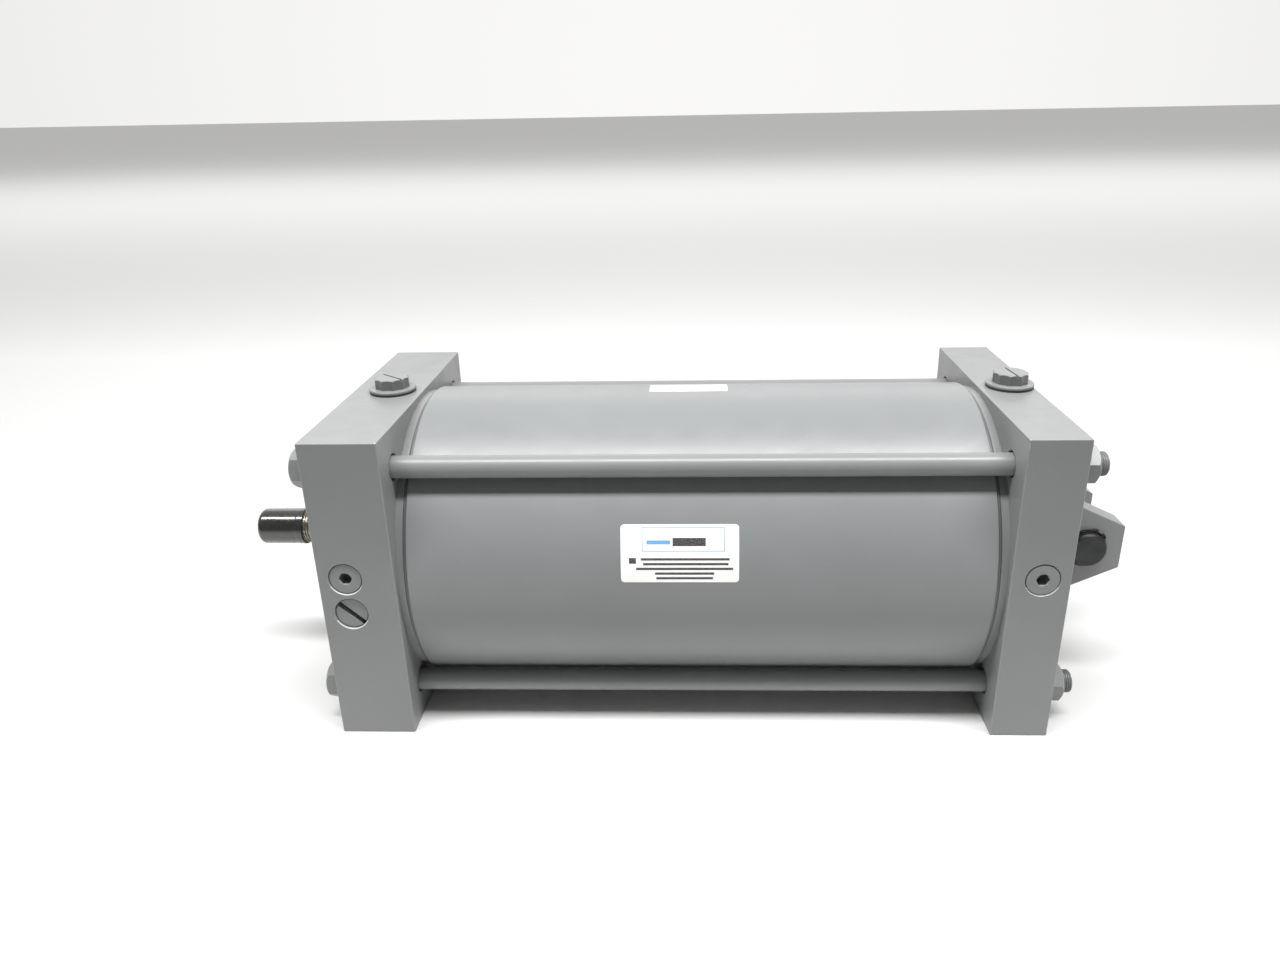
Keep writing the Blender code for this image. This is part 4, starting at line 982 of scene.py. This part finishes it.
def label(node, label_arc, corner, material):
    """Film bent round the barrel, with round corners and a flat map in metres."""
    low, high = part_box(node)
    inner, outer = TUBE_RADIUS + 0.02 * MM, TUBE_RADIUS + 0.16 * MM
    length = high.x - low.x
    height = arc_height(label_arc)
    bm = bmesh.new()
    flat = bm.loops.layers.uv.new("flat")
    rows, steps, columns = [], 24, 12
    arc = [math.radians(90 * step / 8) for step in range(9)]
    grid = sorted({corner * (1 - math.cos(turn)) for turn in arc}
                  | {height - corner * (1 - math.cos(turn)) for turn in arc}
                  | {corner + (height - 2 * corner) * step / steps for step in range(steps + 1)})
    for v in grid:
        into = max(corner - v, v - (height - corner), 0.0)
        inset = corner - math.sqrt(max(corner ** 2 - into ** 2, 0.0))
        rows.append([(inset + (length - 2 * inset) * step / columns, v)
                     for step in range(columns + 1)])

    def point(u, v, radius):
        turn = math.radians(label_arc[0]) + v / TUBE_RADIUS
        return (low.x + u, -radius * math.cos(turn), HALF_SIDE + radius * math.sin(turn))

    places = {}
    for layer, radius in enumerate((inner, outer)):
        for r, row in enumerate(rows):
            for c, (u, v) in enumerate(row):
                places[layer, r, c] = bm.verts.new(point(u, v, radius))
    uv_of = {vertex: rows[r][c] for (layer, r, c), vertex in places.items()}
    last_row = len(rows) - 1
    quads = []
    for r in range(last_row):
        for c in range(columns):
            for layer in (0, 1):
                quads.append([places[layer, r, c], places[layer, r, c + 1],
                              places[layer, r + 1, c + 1], places[layer, r + 1, c]])
        for c in (0, columns):
            quads.append([places[0, r, c], places[0, r + 1, c],
                          places[1, r + 1, c], places[1, r, c]])
    for c in range(columns):
        for r in (0, last_row):
            quads.append([places[0, r, c], places[0, r, c + 1],
                          places[1, r, c + 1], places[1, r, c]])
    for quad in quads:
        face = bm.faces.new(quad)
        for loop in face.loops:
            loop[flat].uv = uv_of[loop.vert]
    show(node, closed_mesh(bm, node), material)


def labels():
    """Plain labels: rules and bars stand in for all print, placed as shares of a label."""
    ink = (0.02, 0.02, 0.02, 1.0)
    blue = (0.10, 0.33, 0.62, 1.0)
    pale_blue = (0.14, 0.34, 0.52, 1.0)
    low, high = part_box("barrel_label")
    width = high.x - low.x
    height = arc_height(LABEL_ARC)
    rules = []
    for index, (left, right) in enumerate(((0.17, 0.92), (0.19, 0.91), (0.13, 0.95),
                                           (0.29, 0.79), (0.30, 0.78))):
        base = height * (0.385 - 0.083 * index)
        rules.append((width * left, width * right, base, base + height * 0.042, ink))
    for left, right, bottom, top, color in ((0.07, 0.13, 0.33, 0.43, ink),
                                            (0.22, 0.42, 0.66, 0.73, blue),
                                            (0.44, 0.72, 0.63, 0.77, ink)):
        rules.append((width * left, width * right, height * bottom, height * top, color))
    panel = (width * 0.18, width * 0.88, height * 0.54, height * 0.95, pale_blue)
    label("barrel_label", LABEL_ARC, 2.4 * MM, label_film("label_film", rules, [panel]))

    low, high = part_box("serial_plate")
    width = high.x - low.x
    height = arc_height(PLATE_ARC)
    rules = [(width * 0.05, width * 0.95, height * base, height * (base + 0.06), ink)
             for base in (0.15, 0.32, 0.49, 0.66, 0.83)]
    label("serial_plate", PLATE_ARC, MM, label_film("plate_film", rules))


# ---------------------------------------------------------------- parts sealed inside
def sealed_parts():
    """Better finishes for the CAD nodes that stay."""
    finishes = {"seal_rubber": RUBBER, "aluminium": ALUMINIUM, "wear_plastic": PLASTIC,
                "bright_steel": GROUND, "black_oxide": OXIDE}
    for node, piece in frame["nodes"].items():
        if piece.hide_render:
            continue
        piece.data.materials.clear()
        piece.data.materials.append(finishes[SLOT_OF[node]])
        piece.data.shade_smooth()
        piece.data.set_sharp_from_angle(angle=math.radians(30))


# ---------------------------------------------------------------- studio
def soft_box(name, location, tilt, size, energy):
    """Rectangular studio light pointing down, tipped about the long axis of the cylinder."""
    data = bpy.data.lights.new(name, "AREA")
    data.shape = "RECTANGLE"
    data.size, data.size_y = size
    data.energy = energy
    light = bpy.data.objects.new(name, data)
    bpy.context.scene.collection.objects.link(light)
    light.location = location
    light.rotation_euler = (math.radians(tilt), 0, 0)


def studio_floor():
    """Pale paper with painted shade: darker towards the camera than behind the cylinder, where the
    overhead light would fall off.
    """
    thickness = 0.02
    mesh = box_mesh("studio_floor", (40.0, 40.0, thickness))
    floor = bpy.data.objects.new("studio_floor", mesh)
    bpy.context.scene.collection.objects.link(floor)
    floor.location = (0, 0, -thickness / 2)
    pale = Finish("studio_paper_painted_falloff")
    depth = pale.node("ShaderNodeSeparateXYZ", Vector=pale.where).outputs["Y"]
    # Painted shade: the paper's colour ramps from dark grey in front to near white behind.
    ramp = pale.node("ShaderNodeValToRGB", Fac=pale.spread(depth, 0, 1, -1.0, 1.5))
    tones = ramp.color_ramp.elements
    tones[0].position, tones[0].color = 0.18, (0.25, 0.25, 0.25, 1)
    tones[1].position, tones[1].color = 0.76, (0.95, 0.95, 0.94, 1)
    for position, tone in ((0.32, 0.66), (0.54, 0.68)):
        tones.new(position).color = (tone, tone, tone * 0.99, 1)
    pale.link(ramp.outputs["Color"], "Base Color")
    pale.shader.inputs["Roughness"].default_value = 0.9
    mesh.materials.append(pale.material)


def surround():
    """World light that rises from dim grey at the front to near white at the back."""
    world = bpy.data.worlds.new("studio")
    bpy.context.scene.world = world
    world.use_nodes = True
    tree = world.node_tree
    background = tree.nodes["Background"]
    coordinates = tree.nodes.new("ShaderNodeTexCoord")
    split = tree.nodes.new("ShaderNodeSeparateXYZ")
    span = tree.nodes.new("ShaderNodeMapRange")
    ramp = tree.nodes.new("ShaderNodeValToRGB")
    span.inputs["From Min"].default_value = -1
    tones = ramp.color_ramp.elements
    tones[0].position, tones[0].color = 0.25, (0.20, 0.20, 0.20, 1)
    tones[1].color = (0.95, 0.945, 0.93, 1)
    for output, socket in ((coordinates.outputs["Generated"], split.inputs[0]),
                           (split.outputs["Y"], span.inputs["Value"]),
                           (span.outputs["Result"], ramp.inputs["Fac"]),
                           (ramp.outputs["Color"], background.inputs["Color"])):
        tree.links.new(output, socket)


CAMERA_PLACE = (0.01391, -0.62930, 0.41229)
CAMERA_YAW = math.radians(2.210)
CAMERA_PITCH = math.radians(21.316)
CAMERA_ROLL = math.radians(-1.100)
CAMERA_LENS = 25.81
SENSOR_WIDTH = 36.0
CAMERA_SHIFT = (-0.0156, -0.0211)


def view():
    """Camera a little above the cylinder, looking down at its front."""
    data = bpy.data.cameras.new("camera")
    data.sensor_width = SENSOR_WIDTH
    data.lens = CAMERA_LENS
    data.shift_x, data.shift_y = CAMERA_SHIFT
    data.clip_start = 0.01
    camera = bpy.data.objects.new("camera", data)
    bpy.context.scene.collection.objects.link(camera)
    camera.matrix_world = (Matrix.Translation(CAMERA_PLACE)
                           @ Matrix.Rotation(CAMERA_YAW, 4, "Z")
                           @ Matrix.Rotation(math.pi / 2 - CAMERA_PITCH, 4, "X")
                           @ Matrix.Rotation(CAMERA_ROLL, 4, "Z"))
    bpy.context.scene.camera = camera
    bpy.context.scene.view_settings.view_transform = "Standard"


head_block()
cap_block()
barrel()
tie_rods()
port_plug("head_port_plug", -38)
port_plug("cap_port_plug", -84)
cushion_needle("head_cushion_needle", 0.8 * MM)
cushion_needle("cap_cushion_needle", 0.2 * MM)
check_valve()
rod()
protector()
bushing()
retainer()
clevis()
pin()
labels()
sealed_parts()
studio_floor()
soft_box("overhead_light", (0.03, -0.34, 1.46), -13, (2.4, 0.22), 58)
soft_box("backdrop_light", (0.0, 3.6, 1.8), 0, (9.0, 2.4), 60)
surround()
view()
